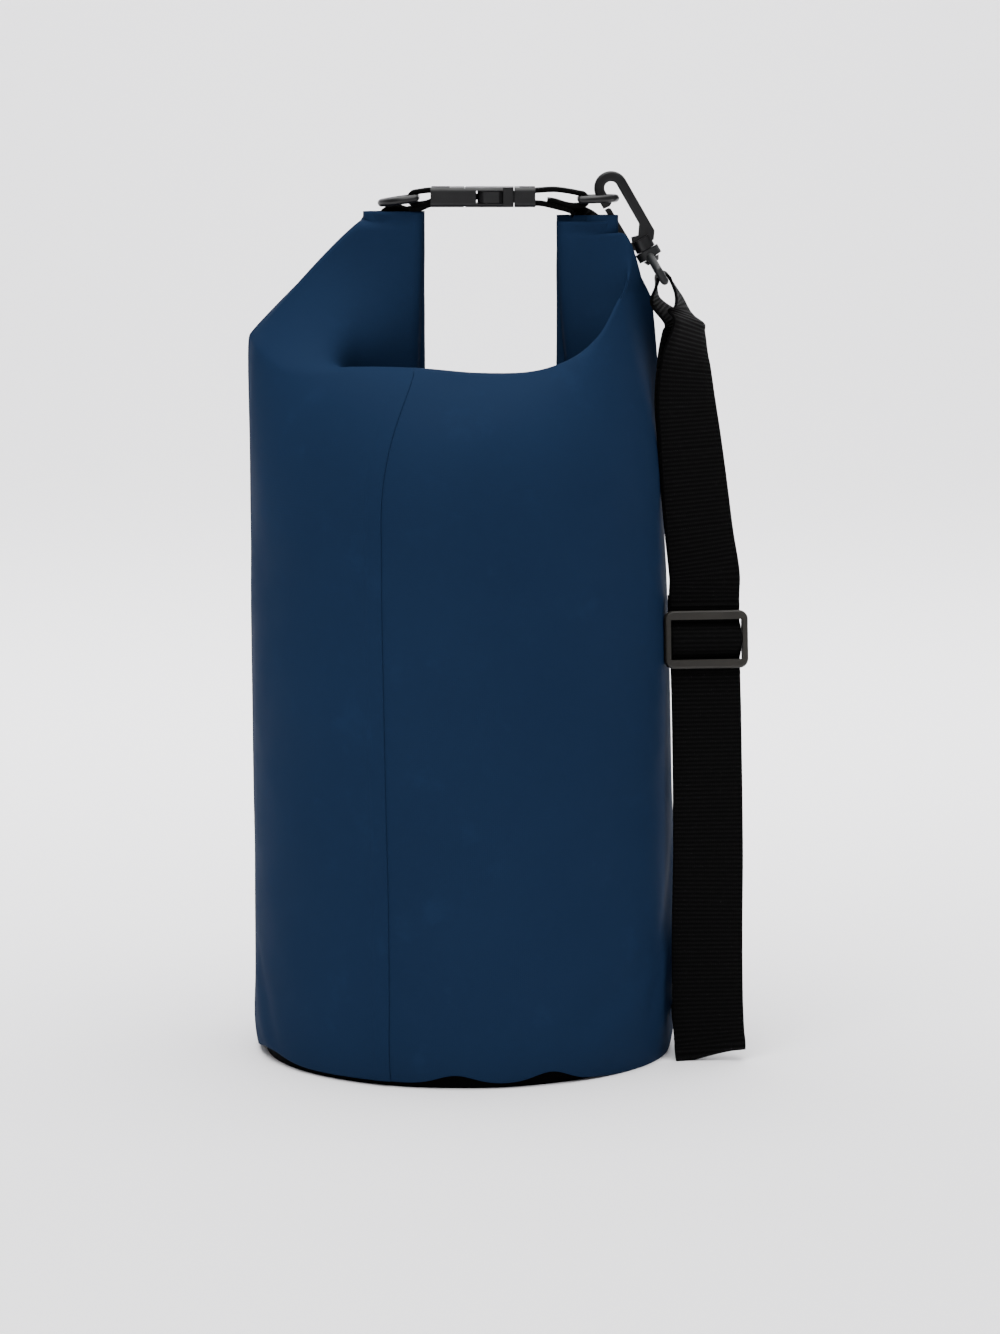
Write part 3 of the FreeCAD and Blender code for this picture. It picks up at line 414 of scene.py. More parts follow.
def webbing(name, dense, thickness, material):
    """Flat woven webbing along dense stations, with rounded edges and its cloth layout."""
    top = [(-0.965, 0.5), (-0.6, 0.5), (-0.2, 0.5), (0.2, 0.5), (0.6, 0.5), (0.965, 0.5)]
    section = [(-1, -0.25), (-1, 0.25)] + top + [(1, 0.25), (1, -0.25)] + [(u, -v) for u, v in reversed(top)]
    points, layout = [], []
    for middle, across, face, width, t in dense:
        for u, v in section:
            points.append(middle + across * (u * width / 2) + face * (v * thickness))
            layout.append((u * width / 2, t))
    n = len(section)
    faces = grid_faces(len(dense), n, closed=True)
    faces.append(tuple(reversed(range(n))))
    faces.append(tuple(range(len(points) - n, len(points))))
    return mesh_object(name, points, faces, material, layout)


THREAD_RADIUS, STITCH_LIFT, STITCH_SINK = 0.28 * MM, 0.35 * MM, 0.12 * MM
STITCH_RINGS, STITCH_SIDES = 7, 6


def stitches(name, lines, material, length):
    """Rows of single stitches. Each line is (start, end, direction out of the cloth)."""
    points, faces = [], []
    for start, end, out in lines:
        run = end - start
        count = max(1, int(round(run.length / (length * 1.25))))
        step = run / count
        side = out.cross(run.normalized()).normalized()
        for i in range(count):
            a, b = start + step * (i + 0.1), start + step * (i + 0.9)
            first = len(points)
            for j in range(STITCH_RINGS):
                w = j / (STITCH_RINGS - 1)
                arch = math.sin(math.pi * w)
                centre = a.lerp(b, w) + out * (STITCH_LIFT * arch - STITCH_SINK)
                swell = THREAD_RADIUS * (0.65 + 0.35 * arch)
                for k in range(STITCH_SIDES):
                    angle = 2 * math.pi * k / STITCH_SIDES
                    points.append(centre + side * (swell * math.cos(angle)) + out * (swell * math.sin(angle)))
            faces += grid_faces(STITCH_RINGS, STITCH_SIDES, closed=True, start=first)
            faces.append(tuple(reversed(range(first, first + STITCH_SIDES))))
            faces.append(tuple(range(len(points) - STITCH_SIDES, len(points))))
    return mesh_object(name, points, faces, material)


def box_stitch(spot, u0, v0, u1, v1, out):
    """Lines of a box stitch with crossed diagonals. spot gives the place of a point on the cloth."""
    a, b, c, d = spot(u0, v0), spot(u1, v0), spot(u1, v1), spot(u0, v1)
    return [(start, end, out) for start, end in ((a, b), (b, c), (c, d), (d, a), (a, c), (b, d))]


def paint_node(node_name, material):
    """Gives a CAD node its finish."""
    obj = frame["nodes"][node_name]
    obj.data.materials.clear()
    obj.data.materials.append(material)


# ---------------------------------------------------------------- the bag's body
WALL_R = 110.0 * MM
STRAIGHT_TOP = 300.0 * MM
# The closure's U: where its band lies, seen from the front.
ROLL_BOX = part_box("closure_roll")
BAND_HALF = 17.0 * MM
BEND_R = 23.0 * MM
BAND_Z = 349.0 * MM
LEFT_MID = ROLL_BOX[0].x + BAND_HALF
RIGHT_MID = 67.0 * MM
LEFT_TOP, RIGHT_TOP = 457.0 * MM, 455.0 * MM
BAND_FRONT = -10.0 * MM
LEFT_LEAN, RIGHT_LEAN = 3.0 * MM, 6.0 * MM
RIGHT_TILT = 3.4 * MM      # the right end is cut askew: higher outside than inside
SEAM_ANGLE = math.acos(38.0 / 110.0)

# The crest where the wall folds over towards the closure: angle round the bag from its left side, and the
# crest's place, in millimetres.
CREST = [
    (0, (-112.5, 0, 391)), (12, (-107, -20, 384)), (28, (-91, -43, 374)), (40, (-73, -56, 373)),
    (52, (-54, -64, 376)),
    (69.8, (-24, -66, 376)), (90, (8, -66, 373)), (112, (36, -63, 374)), (130, (58, -57, 381)),
    (146, (73, -48, 393)), (160, (83, -31, 409)), (168, (89, -16, 415)), (174, (95.5, -6, 412)),
    (180, (101.3, 0, 409)),
]


def band_point(s, half):
    """Point of a line along the U-shaped band, and the direction towards the inside of the U.

    s runs from the left end to the right end; half is how far outside the band's middle line it lies.
    The inner edges lean outwards as they go down.
    """
    radius = BEND_R + half
    z_bend = BAND_Z + BEND_R
    left_x, right_x = LEFT_MID + BEND_R, RIGHT_MID - BEND_R
    legs = (LEFT_TOP - z_bend, RIGHT_TOP - z_bend)
    arc_length = math.pi / 2 * (BEND_R + BAND_HALF)
    flat = right_x - left_x
    lengths = [legs[0], arc_length, flat, arc_length, legs[1]]
    lean = max(-half, 0.0) / BAND_HALF
    d = s * sum(lengths)
    for i, length in enumerate(lengths):
        if d <= length or i == len(lengths) - 1:
            w = min(d / length, 1.0)
            break
        d -= length
    if i == 0:
        return Vector((LEFT_MID - half - LEFT_LEAN * lean * w, 0, LEFT_TOP - w * legs[0])), Vector((1, 0, 0))
    if i == 1:
        a = math.pi + w * math.pi / 2
        out = Vector((math.cos(a), 0, math.sin(a)))
        return Vector((left_x - LEFT_LEAN * lean * (1 - w), 0, z_bend)) + out * radius, -out
    if i == 2:
        return Vector((left_x + w * flat, 0, z_bend - radius)), Vector((0, 0, 1))
    if i == 3:
        a = 1.5 * math.pi + w * math.pi / 2
        out = Vector((math.cos(a), 0, math.sin(a)))
        return Vector((right_x + RIGHT_LEAN * lean * w, 0, z_bend)) + out * radius, -out
    tilt = RIGHT_TILT * half / BAND_HALF * smooth_step((w - 0.5) * 2)
    x = RIGHT_MID + half + RIGHT_LEAN * lean * (1 - w) ** 2
    return Vector((x, 0, z_bend + w * legs[1] + tilt)), Vector((-1, 0, 0))


def soft_noise(x, y, seed):
    """Slow unevenness between -1 and 1, the same at each run."""
    value = 0.0
    for k in range(1, 5):
        swing = math.sin(x * (0.9 + 0.7 * k) + seed * 1.7 * k)
        value += swing * math.cos(y * (1.1 + 0.6 * k) - seed * 2.3 * k) / k
    return value / 2.1


def hem_height(angle):
    """Height of the wall's scalloped lower edge at an angle round the bag."""
    peaks = [(22, 12, 4.5), (88, 7, 4.6), (115, 7, 5.2), (205, 10, 3.0), (262, 9, 3.5), (318, 9, 3.0)]
    degrees = math.degrees(angle) % 360
    z = 7.4 - 4.6 * math.exp(-((degrees - 165) / 36) ** 2)
    for middle, width, rise in peaks:
        away = abs((degrees - middle + 180) % 360 - 180)
        z += rise * math.exp(-(away / width) ** 2)
    return z * MM


# Creases pressed into the filled tube: angle and height of each end in degrees and millimetres, the depth
# and the half-width across the crease.
CREASES = [
    ((118, 26), (158, 70), 1.1, 9.0), ((150, 24), (172, 120), 0.9, 7.0), ((12, 60), (28, 14), 0.9, 7.0),
    ((62, 286), (120, 262), 0.4, 16.0), ((20, 320), (52, 296), 0.6, 12.0), ((140, 190), (165, 150), 0.4, 12.0),
    ((215, 30), (250, 80), 0.9, 10.0), ((300, 24), (335, 90), 0.9, 9.0), ((250, 300), (300, 250), 0.6, 16.0),
]


def crease_depth(degrees, z):
    """How far creases push the wall in at a place, with a raised lip along the lower side of each."""
    depth = 0.0
    for (a0, z0), (a1, z1), deep, half_width in CREASES:
        scale = WALL_R / MM * math.pi / 180
        run = Vector(((a1 - a0) * scale, z1 - z0))
        at = Vector(((degrees - a0) * scale, z - z0))
        t = at.dot(run) / run.length_squared
        if not -0.5 < t < 1.5:
            continue
        away = (at.x * run.y - at.y * run.x) / run.length / half_width
        fade = math.exp(-(max(abs(t - 0.5) - 0.28, 0) / 0.22) ** 2)
        depth += deep * fade * (math.exp(-away * away) - 0.75 * math.exp(-(away - 1.3) ** 2))
    return depth


def body_point(angle, height):
    """Point on the filled tube, at an angle from its left side round the front, and a height."""
    z = height / MM
    degrees = math.degrees(angle) % 360
    radius = WALL_R / MM
    radius -= 3.4 * math.exp(-(z - 2.0) / 7.0)
    around = 2.2 * math.cos(angle) + 1.1 * math.sin(angle)
    radius += 0.5 * soft_noise(around, z / 55.0, 3.0)
    radius += 0.9 * math.exp(-((z - 22) / 16) ** 2)
    radius += 2.6 * math.cos(angle) ** 4 * smooth_step((320 - z) / 300)
    radius += 2.0 * max(-math.cos(angle), 0.0) ** 6 * smooth_step((z - 20) / 80) * smooth_step((325 - z) / 110)
    fade = smooth_step((z - 60) / 80) * smooth_step((340 - z) / 60)
    radius += 0.35 * fade * soft_noise(around * 2.5, z / 23.0, 9.0)
    radius -= crease_depth(degrees, z)
    shift = 1.4 - 4.0 * smooth_step(z / 330)
    return Vector((shift - radius * math.cos(angle), -radius * math.sin(angle), z)) * MM


def crest_point(angle, front):
    keys = [row[0] for row in CREST]
    point = curve_through(keys, [Vector(row[1]) for row in CREST], math.degrees(angle)) * MM
    if not front:
        drop = 17 * MM * math.sin(angle) ** 2
        point = Vector((point.x, -point.y, point.z - drop + 2.5 * MM * soft_noise(angle * 3.0, 1.0, 5.0)))
    return point


def band_edges(angle, front):
    """Where the wall meets the closure's outer edge, and its inner edge, at an angle round the bag."""
    s = angle / math.pi
    outer, _ = band_point(s, BAND_HALF)
    inner, _ = band_point(s, -BAND_HALF + 1.2 * MM)
    ends = (Vector((-53, 0, 451.5)) * MM, Vector((84.5, 0, 441)) * MM)
    for target, away in zip(ends, (s, 1 - s)):
        outer = outer.lerp(target, smooth_step(1 - away / 0.05))
    reach = smooth_step(min(s, 1 - s) / 0.03)
    side = -1 if front else 1
    # On the front, the wall bridges the corner beside each leg instead of lying against it.
    bridge = 15 * MM * math.exp(-((s - 0.21) / 0.09) ** 2) + 9 * MM * math.exp(-((s - 0.80) / 0.08) ** 2)
    outer.y = side * (-BAND_FRONT + (bridge if front else 0)) * reach
    inner.y = side * (-BAND_FRONT + 0.9 * MM)
    return outer, inner, reach


def over_the_shoulder(angle, front, t):
    """Point on the wall between the straight tube (t = 0) and the closure's outer edge (t = 1)."""
    start = body_point(angle if front else -angle, STRAIGHT_TOP)
    crest = crest_point(angle, front)
    end, inner, reach = band_edges(angle, front)
    onward = (end - crest).normalized()
    turn = (UP + onward).normalized()
    middle = math.sin(angle)
    sharp = (5 + 19 * middle ** 3) * MM
    split = 0.56
    if t <= split:
        return bezier(start, start + UP * (44 * MM), crest - turn * sharp, crest, t / split)
    arrive = ((inner - end).normalized() * reach + onward * (1 - reach)).normalized()
    last = end - arrive * ((7 + 9 * middle) * MM)
    return bezier(crest, crest + turn * sharp, last, end, (t - split) / (1 - split))


def face_of_band(angle, t):
    """The front wall as it runs on over the closure's front face, from its outer edge to its inner edge."""
    outer, inner, reach = band_edges(angle, True)
    point = outer.lerp(inner, t)
    top = smooth_step(t / 0.1)
    if reach < 1:
        point.z = outer.z + (inner.z - outer.z) * (t * reach + top * (1 - reach))
        point.y = outer.y + (inner.y - outer.y) * (t * reach + smooth_step(t / 0.3) * (1 - reach))
    point.y -= 0.7 * MM * math.sin(math.pi * t) * reach
    if t > 0.9:
        point.y += 3.0 * MM * smooth_step((t - 0.9) / 0.1)
    return point


# How finely the wall is divided: round each half, up its straight part, over its shoulder, down the closure.
WALL_COLUMNS = 300
STRAIGHT_STEPS, SHOULDER_STEPS, FACE_STEPS = 44, 40, 14
SHOULDER_CLOTH, FACE_CLOTH = 0.165, 0.036      # how much cloth runs over the shoulder and down the closure
# Extra columns of points beside the weld's edge line, in millimetres.
SEAM_COLUMNS = (-10.5, -9.6, -8.4, -0.9, -0.5, -0.25, -0.05, 0.15, 0.4, 0.8)


def wall_rows(front):
    """Rows of points of the wall's front or back half, with each point's place on the cloth."""
    side = 1 if front else -1
    rows, layout = [], []
    heights = [0.0, 0.004, 0.01, 0.02, 0.035] + [
        0.05 + 0.95 * i / STRAIGHT_STEPS for i in range(STRAIGHT_STEPS + 1)]
    angles = {math.pi * c / WALL_COLUMNS for c in range(WALL_COLUMNS + 1)}
    if front:
        angles |= {SEAM_ANGLE + offset * MM / WALL_R for offset in SEAM_COLUMNS}
    angles = sorted(angles)

    def add(make, cloth_height):
        rows.append([make(a) for a in angles])
        layout.append([(side * a * WALL_R, cloth_height) for a in angles])

    for h in heights:
        def straight(a, h=h):
            low = hem_height(a if front else -a)
            return body_point(side * a, low + (STRAIGHT_TOP - low) * h)
        add(straight, STRAIGHT_TOP * h)
    for i in range(1, SHOULDER_STEPS + 1):
        add(lambda a, t=i / SHOULDER_STEPS: over_the_shoulder(a, front, t),
            STRAIGHT_TOP + SHOULDER_CLOTH * i / SHOULDER_STEPS)
    if front:
        for i in range(1, FACE_STEPS + 1):
            add(lambda a, t=i / FACE_STEPS: face_of_band(a, t),
                STRAIGHT_TOP + SHOULDER_CLOTH + FACE_CLOTH * i / FACE_STEPS)
    return rows, layout


def weld_step(rows, layout, settings):
    """Raises the lapped layer on the right of the weld's edge line, and its fainter second line."""
    edge = SEAM_ANGLE * WALL_R
    for row, cloth in zip(rows, layout):
        for i, (u, _) in enumerate(cloth):
            faint = smooth_step((u - (edge - settings.weld_width)) / (1.4 * MM)) * 0.55 + 0.45 * smooth_step(
                (u - (edge - 30 * MM)) / (20 * MM))
            inside = faint * smooth_step((edge - u) / (0.3 * MM)) if u > edge - 30 * MM else 0.0
            if inside:
                out = Vector((row[i].x, row[i].y, 0)).normalized()
                row[i] = row[i] + out * (settings.weld_step * inside)


def half_wall(name, front, settings, material):
    rows, layout = wall_rows(front)
    if front:
        weld_step(rows, layout, settings)
    points = [p for row in rows for p in row]
    places = [c for row in layout for c in row]
    faces = grid_faces(len(rows), len(rows[0]))
    if front:
        faces = [tuple(reversed(f)) for f in faces]
    return mesh_object(name, points, faces, material, places)


def join(objects, name):
    """Joins mesh objects into the first one."""
    first = objects[0]
    with bpy.context.temp_override(active_object=first, object=first, selected_editable_objects=objects):
        bpy.ops.object.join()
    first.name = name
    return first


class ROPEBAG_OT_wall(Operator):
    """Builds the coated-fabric wall: the filled tube, its gathered shoulders and its lap weld"""
    bl_idname = "rope_bag.wall"
    bl_label = "Wall"

    def execute(self, context):
        settings = context.scene.rope_bag
        material = wall_material(context)
        halves = [half_wall("wall_front", True, settings, material),
                  half_wall("wall_back", False, settings, material)]
        wall = join(halves, "bag_wall")
        reshape(wall, "WELD", merge_threshold=0.05 * MM)
        thicken(wall, settings.wall_thickness)
        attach(wall, "bag")
        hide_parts("wall_panel")
        return {"FINISHED"}


# Radius and height of the base's section, from its middle up its edge, in millimetres.
BASE_PROFILE = [
    (0.0, 2.2), (30, 1.6), (62, 0.9), (90, 0.5), (99, 0.2), (102.5, 0.5), (104.8, 1.6), (106.0, 3.4),
    (106.4, 6.0), (106.9, 10.0), (107.4, 15.0), (108.0, 24.0),
]


class ROPEBAG_OT_base(Operator):
    """Builds the black base, whose upturned edge is welded inside the wall"""
    bl_idname = "rope_bag.base"
    bl_label = "Base"

    def execute(self, context):
        columns, points, layout = 240, [], []
        for radius, z in BASE_PROFILE:
            for c in range(columns):
                a = 2 * math.pi * c / columns
                ripple = 0.35 * soft_noise(a * 5, radius / 30, 2.0) * smooth_step(radius / 100)
                r = max(radius + ripple, 0.2) * MM
                points.append(Vector((-r * math.cos(a), -r * math.sin(a), z * MM)))
                layout.append((points[-1].x, points[-1].y) if radius < 105 else (a * r, z * MM + 0.1))
        faces = grid_faces(len(BASE_PROFILE), columns, closed=True)
        faces.append(tuple(reversed(range(columns))))
        base = mesh_object("base_cup", points, faces, base_material(context), layout)
        thicken(base, 0.8 * MM)
        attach(base, "bag")
        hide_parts("base_panel")
        return {"FINISHED"}


# ---------------------------------------------------------------- the rolled closure
def roll_section(turns, steps=44):
    """Flattened spiral of the rolled lip: (across the band, through it) pairs from the outside inwards."""
    points = []
    count = int(turns * steps)
    for i in range(count + 1):
        turn = i / steps
        half_w = BAND_HALF - 0.6 * MM - turn * 1.25 * MM
        half_t = 9.4 * MM - turn * 2.1 * MM
        a = 2 * math.pi * turn - math.pi / 2
        c, s = math.cos(a), math.sin(a)
        across = math.copysign(abs(c) ** 0.55, c) * half_w
        through = math.copysign(abs(s) ** 0.8, s) * half_t
        points.append((across, through))
    return points


class ROPEBAG_OT_closure(Operator):
    """Builds the lip, rolled over and bent into the U of the carry handle"""
    bl_idname = "rope_bag.closure"
    bl_label = "Rolled closure"

    def execute(self, context):
        settings = context.scene.rope_bag
        section = roll_section(settings.closure_turns)
        along = [0.0] + [0.004 * i for i in range(1, 6)] + [0.02 + 0.96 * i / 110 for i in range(1, 111)]
        along.append(1.0)
        points, layout = [], []
        for s in along:
            outer, inward = band_point(s, 0.0)
            wave = 0.35 * MM * soft_noise(s * 22, 0.5, 4.0)
            length = 0
            for i, (across, through) in enumerate(section):
                if i:
                    length += math.hypot(across - section[i - 1][0], through - section[i - 1][1])
                points.append(outer - inward * (across + wave) + Vector((0, through, 0)))
                layout.append((length, s * 0.3))
        faces = [tuple(reversed(f)) for f in grid_faces(len(along), len(section))]
        roll = mesh_object("rolled_closure", points, faces, wall_material(context), layout)
        thicken(roll, 0.7 * MM)
        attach(roll, "bag")
        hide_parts("closure_roll")
        for node in ("lip_stiffener_front", "lip_stiffener_back"):
            paint_node(node, material_of("polyethylene_strip", moulded_plastic, hex_colour("#202226"), 0.5))
        return {"FINISHED"}


# ---------------------------------------------------------------- closure webbing
HEAVIER = 1.55             # how much thicker the closure webbing is than the strap's
WEB_LOOP = 3.15 * MM       # from a ring's bar to the middle of the webbing round it
BUCKLE_BOX = [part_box("buckle_socket"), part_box("buckle_plug")]
BUCKLE_Z = (BUCKLE_BOX[0][0].z + BUCKLE_BOX[0][1].z) / 2
LEFT_RING = Vector(JOINTS["left_ring_swing"]["pos_m"])
RIGHT_RING = Vector(JOINTS["right_ring_swing"]["pos_m"])


def arc(centre, radius, start, end, steps):
    """Points of an arc in the XZ plane, from one angle to another in degrees."""
    angles = [math.radians(start + (end - start) * i / steps) for i in range(steps + 1)]
    return [centre + Vector((math.cos(a), 0, math.sin(a))) * radius for a in angles]


def closure_route(side):
    """Stations of one end of the closure webbing, out of the roll, round the buckle's bar and the ring's."""
    if side < 0:
        twist = [(-35.5, 441, 0, 25), (-35.5, 446, 0, 25), (-35.3, 450.5, 12, 22), (-34.6, 454.0, 24, 19),
                 (-32.6, 456.6, 40, 16), (-29.6, 458.2, 68, 18), (-25.5, 458.4, 90, 25), (-21.5, 458.6, 90, 25),
                 (-17.5, 460.2, 90, 25)]
        bar = Vector((BUCKLE_BOX[0][0].x + 2 * MM, 0, BUCKLE_Z))
        ring, start, end = LEFT_RING, 90, 270
        over = []
        tail = [ring + Vector((x, 0, z)) * MM for x, z in ((2.8, -3.15), (6.5, -2.4), (10.5, -0.6))]
    else:
        twist = [(67.0, 439, 0, 25), (66.8, 444, 0, 25), (65.8, 448.5, 12, 22), (64.4, 452.0, 24, 19),
                 (62.4, 455.0, 40, 16), (60.2, 456.8, 66, 18), (57.0, 457.7, 90, 25), (53.0, 458.8, 90, 25),
                 (47.0, 460.3, 90, 25), (42.5, 461.2, 90, 25)]
        bar = Vector((BUCKLE_BOX[1][1].x - 2 * MM, 0, BUCKLE_Z))
        ring, start, end = RIGHT_RING, 90, -90
        over = [Vector((49.5, 0, 468.6)) * MM, Vector((56.0, 0, 467.9)) * MM]
        tail = [ring + Vector((x, 0, z)) * MM
                for x, z in ((-5.0, -3.25), (-9.5, -2.3), (-14.0, -0.9), (-18.0, -0.3))]
    stations = []
    for x, z, degrees, width in twist:
        a = math.radians(degrees)
        stations.append((Vector((x, 0, z)) * MM, Vector((math.cos(a), math.sin(a), 0)), width * MM))
    turn = [bar + Vector((-side * dx, 0, dz)) * MM
            for dx, dz in ((0, -3.35), (3.1, -3.0), (3.4, 0), (3.1, 3.0), (0, 3.35), (-3.4, 3.45))]
    for point in turn + over + arc(ring, WEB_LOOP, start, end, 8) + tail:
        stations.append((point, BACKWARD, 25 * MM))
    return stations


class ROPEBAG_OT_closure_webbing(Operator):
    """Builds the closure webbing's two ends, with their bar-tacks"""
    bl_idname = "rope_bag.closure_webbing"
    bl_label = "Closure webbing"

    def execute(self, context):
        web = context.scene.rope_bag_webbing
        for side, name in ((-1, "left"), (1, "right")):
            dense = resample(closure_route(side), 0.9 * MM)
            thickness = web.thickness * HEAVIER
            piece = webbing(f"closure_webbing_{name}", dense, thickness, lip_webbing_material(context))
            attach(piece, "bag")
            if side < 0:
                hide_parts("closure_webbing")
        lines = []
        for x, z in ((51.5, 469.15), (55.0, 469.15), (-18.4, 468.6), (-19.9, 468.6)):
            lines.append((Vector((x, -10.5, z)) * MM, Vector((x, 10.5, z)) * MM, UP))
        sewn = stitches("closure_stitches", lines, thread_material(context), web.stitch_length * 0.7)
        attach(sewn, "bag")
        return {"FINISHED"}


# ---------------------------------------------------------------- the shoulder strap
STRAIGHT_LOW, STRAIGHT_HIGH = Vector((131.7, -30.5, 150)) * MM, Vector((130.2, -19.6, 260)) * MM
SLIDER_HEIGHT = 230 * MM
SLIDER_TWIST = math.radians(10)
UPPER_SPINE = [
    ((127.2, -17.4, 285), 18), ((124.4, -15.0, 310), 22), ((121.8, -12.2, 335), 28),
    ((119.4, -9.4, 358), 35), ((118.9, -6.2, 379), 47), ((118.6, -2.8, 397), 65),
]
LOWER_ROWS = [
    ((132.1, -33.6, 118), (0.990, 0.14, 0)), ((131.7, -37.0, 78), (0.998, 0.06, 0)),
    ((132.0, -39.6, 40), (0.998, 0.02, 0.05)), ((132.8, -41.4, 20), (0.978, 0, 0.21)),
    ((133.6, -41.6, 12.6), (0.966, 0, 0.26)), ((133.7, -40.4, 8.6), (0.966, 0, 0.26)),
    ((133.7, -38.0, 7.4), (0.966, 0, 0.26)), ((133.7, -35.6, 8.8), (0.966, 0, 0.26)),
    ((133.5, -34.2, 13.0), (0.964, 0.02, 0.27)), ((132.9, -32.4, 21), (0.94, 0.05, 0.33)),
    ((131.9, -28.6, 30), (0.85, 0.12, 0.51)), ((130.9, -22.0, 38.5), (0.68, 0.16, 0.72)),
    ((130.0, -12.0, 45.5), (0.44, 0.13, 0.89)), ((129.2, 1.0, 50.5), (0.2, 0.05, 0.98)),
    ((127.6, 18.0, 54.0), (0.06, 0, 1)), ((123.2, 38.0, 56.6), (0, 0, 1)), ((115.8, 57.0, 58.4), (0, 0, 1)),
    ((105.6, 74.6, 59.6), (0, 0, 1)), ((94.0, 89.0, 60.0), (0, 0, 1)),
]
LOOP_REACH = 3.4 * MM      # from a loop's bar to the middle of the strap round it
LOOP_BAR = -21.0 * MM      # the loop's bar along the swivel's own axis
# Where the strap hands over from one body to the next: heights at its top, in metres, and the lengths that are
# left before the lower loop.
UPPER_CUTS = (0.290, 0.330, 0.372, 0.408)
LOWER_CUTS = (0.150, 0.105, 0.06, 0.012)
UPPER_CHAIN = ("bag", "right_ring", "upper_hook", "upper_loop")
LOWER_CHAIN = ("bag", "lower_ring", "lower_hook", "lower_loop")


def loop_frame(joint, across):
    """Middle of the bar of a swivel's loop, and two directions: square to the hook, and along it."""
    along = Vector(JOINTS[joint]["axis"]).normalized()
    return Vector(JOINTS[joint]["pos_m"]) + along * LOOP_BAR, across.cross(along).normalized(), along


def slider_frame():
    """Origin and the slider's own directions: across the strap, up it, and out of its front."""
    up = (STRAIGHT_HIGH - STRAIGHT_LOW).normalized()
    across = Vector((math.cos(SLIDER_TWIST), math.sin(SLIDER_TWIST), 0))
    back = up.cross(across).normalized()
    across = back.cross(up).normalized()
    t = (SLIDER_HEIGHT - STRAIGHT_LOW.z) / (STRAIGHT_HIGH.z - STRAIGHT_LOW.z)
    return STRAIGHT_LOW.lerp(STRAIGHT_HIGH, t), across, up, across.cross(up)


def at_slider(rows, width):
    """Stations from (along the strap, out of its front) pairs in millimetres about the slider."""
    origin, across, up, out = slider_frame()
    return [(origin + up * (v * MM) + out * (n * MM), across, width) for v, n in rows]


def upper_rows():
    """Middle, width direction and front direction of the strap's twisted upper stretch, and the layers' gap."""
    rows = []
    gaps = [1.3, 1.3, 1.3, 1.4, 1.6, 3.4]
    points = [Vector(p) * MM for p, _ in UPPER_SPINE]
    for i, (_, degrees) in enumerate(UPPER_SPINE):
        before = points[i - 1] if i else STRAIGHT_HIGH
        after = points[min(i + 1, len(points) - 1)]
        a = math.radians(degrees)
        across = Vector((math.cos(a), math.sin(a), 0))
        front = across.cross((after - before).normalized()).normalized()
        rows.append((points[i], across, front, gaps[i] * MM))
    return rows


def strap_route(width):
    """The whole strap, in order: back layer up, round the upper loop, front layer down to the lower loop."""
    back = at_slider([(5.6, -3.3), (9.0, -4.4), (16.0, -4.7), (24.0, -3.8), (34.0, -2.2)], width)
    upper = upper_rows()
    back += [(p - front * gap, across, width) for p, across, front, gap in upper]
    bar, _, _ = loop_frame("upper_swivel_turn", BACKWARD)
    back.append((bar + Vector((-4.0, 0, -11.5)) * MM, Vector((0.16, 1, 0)).normalized(), width))
    loop = [(p, BACKWARD, width) for p in arc(bar, LOOP_REACH, 190, 15, 10)]
    front_layer = [(bar + Vector((7.6, 0, -8.0)) * MM, Vector((0.08, 1, 0)).normalized(), width),
                   (bar + Vector((10.0, -0.4, -17.0)) * MM, Vector((0.27, 1, 0)).normalized(), width)]
    front_layer += [(p + front * gap, across, width) for p, across, front, gap in reversed(upper)]
    front_layer += at_slider([(34.0, 0.6), (24.0, -1.0), (15.0, -1.6), (0.0, -1.6), (-15.0, -1.6),
                              (-24.0, -1.0), (-40.0, 0.0)], width)
    lower = [(Vector(p) * MM, Vector(w).normalized(), width) for p, w in LOWER_ROWS]
    bar, x, z = loop_frame("lower_swivel_turn", UP)
    for degrees in (-15, 20, 55, 90, 125, 160, 195):
        a = math.radians(degrees)
        lower.append((bar + x * (math.cos(a) * LOOP_REACH) + z * (math.sin(a) * LOOP_REACH), UP, width))
    lower += [(bar - x * aside * MM - z * down * MM, UP, width)
              for aside, down in ((2.8, 9), (1.6, 20), (3.2, 32))]
    return back, loop, front_layer, lower


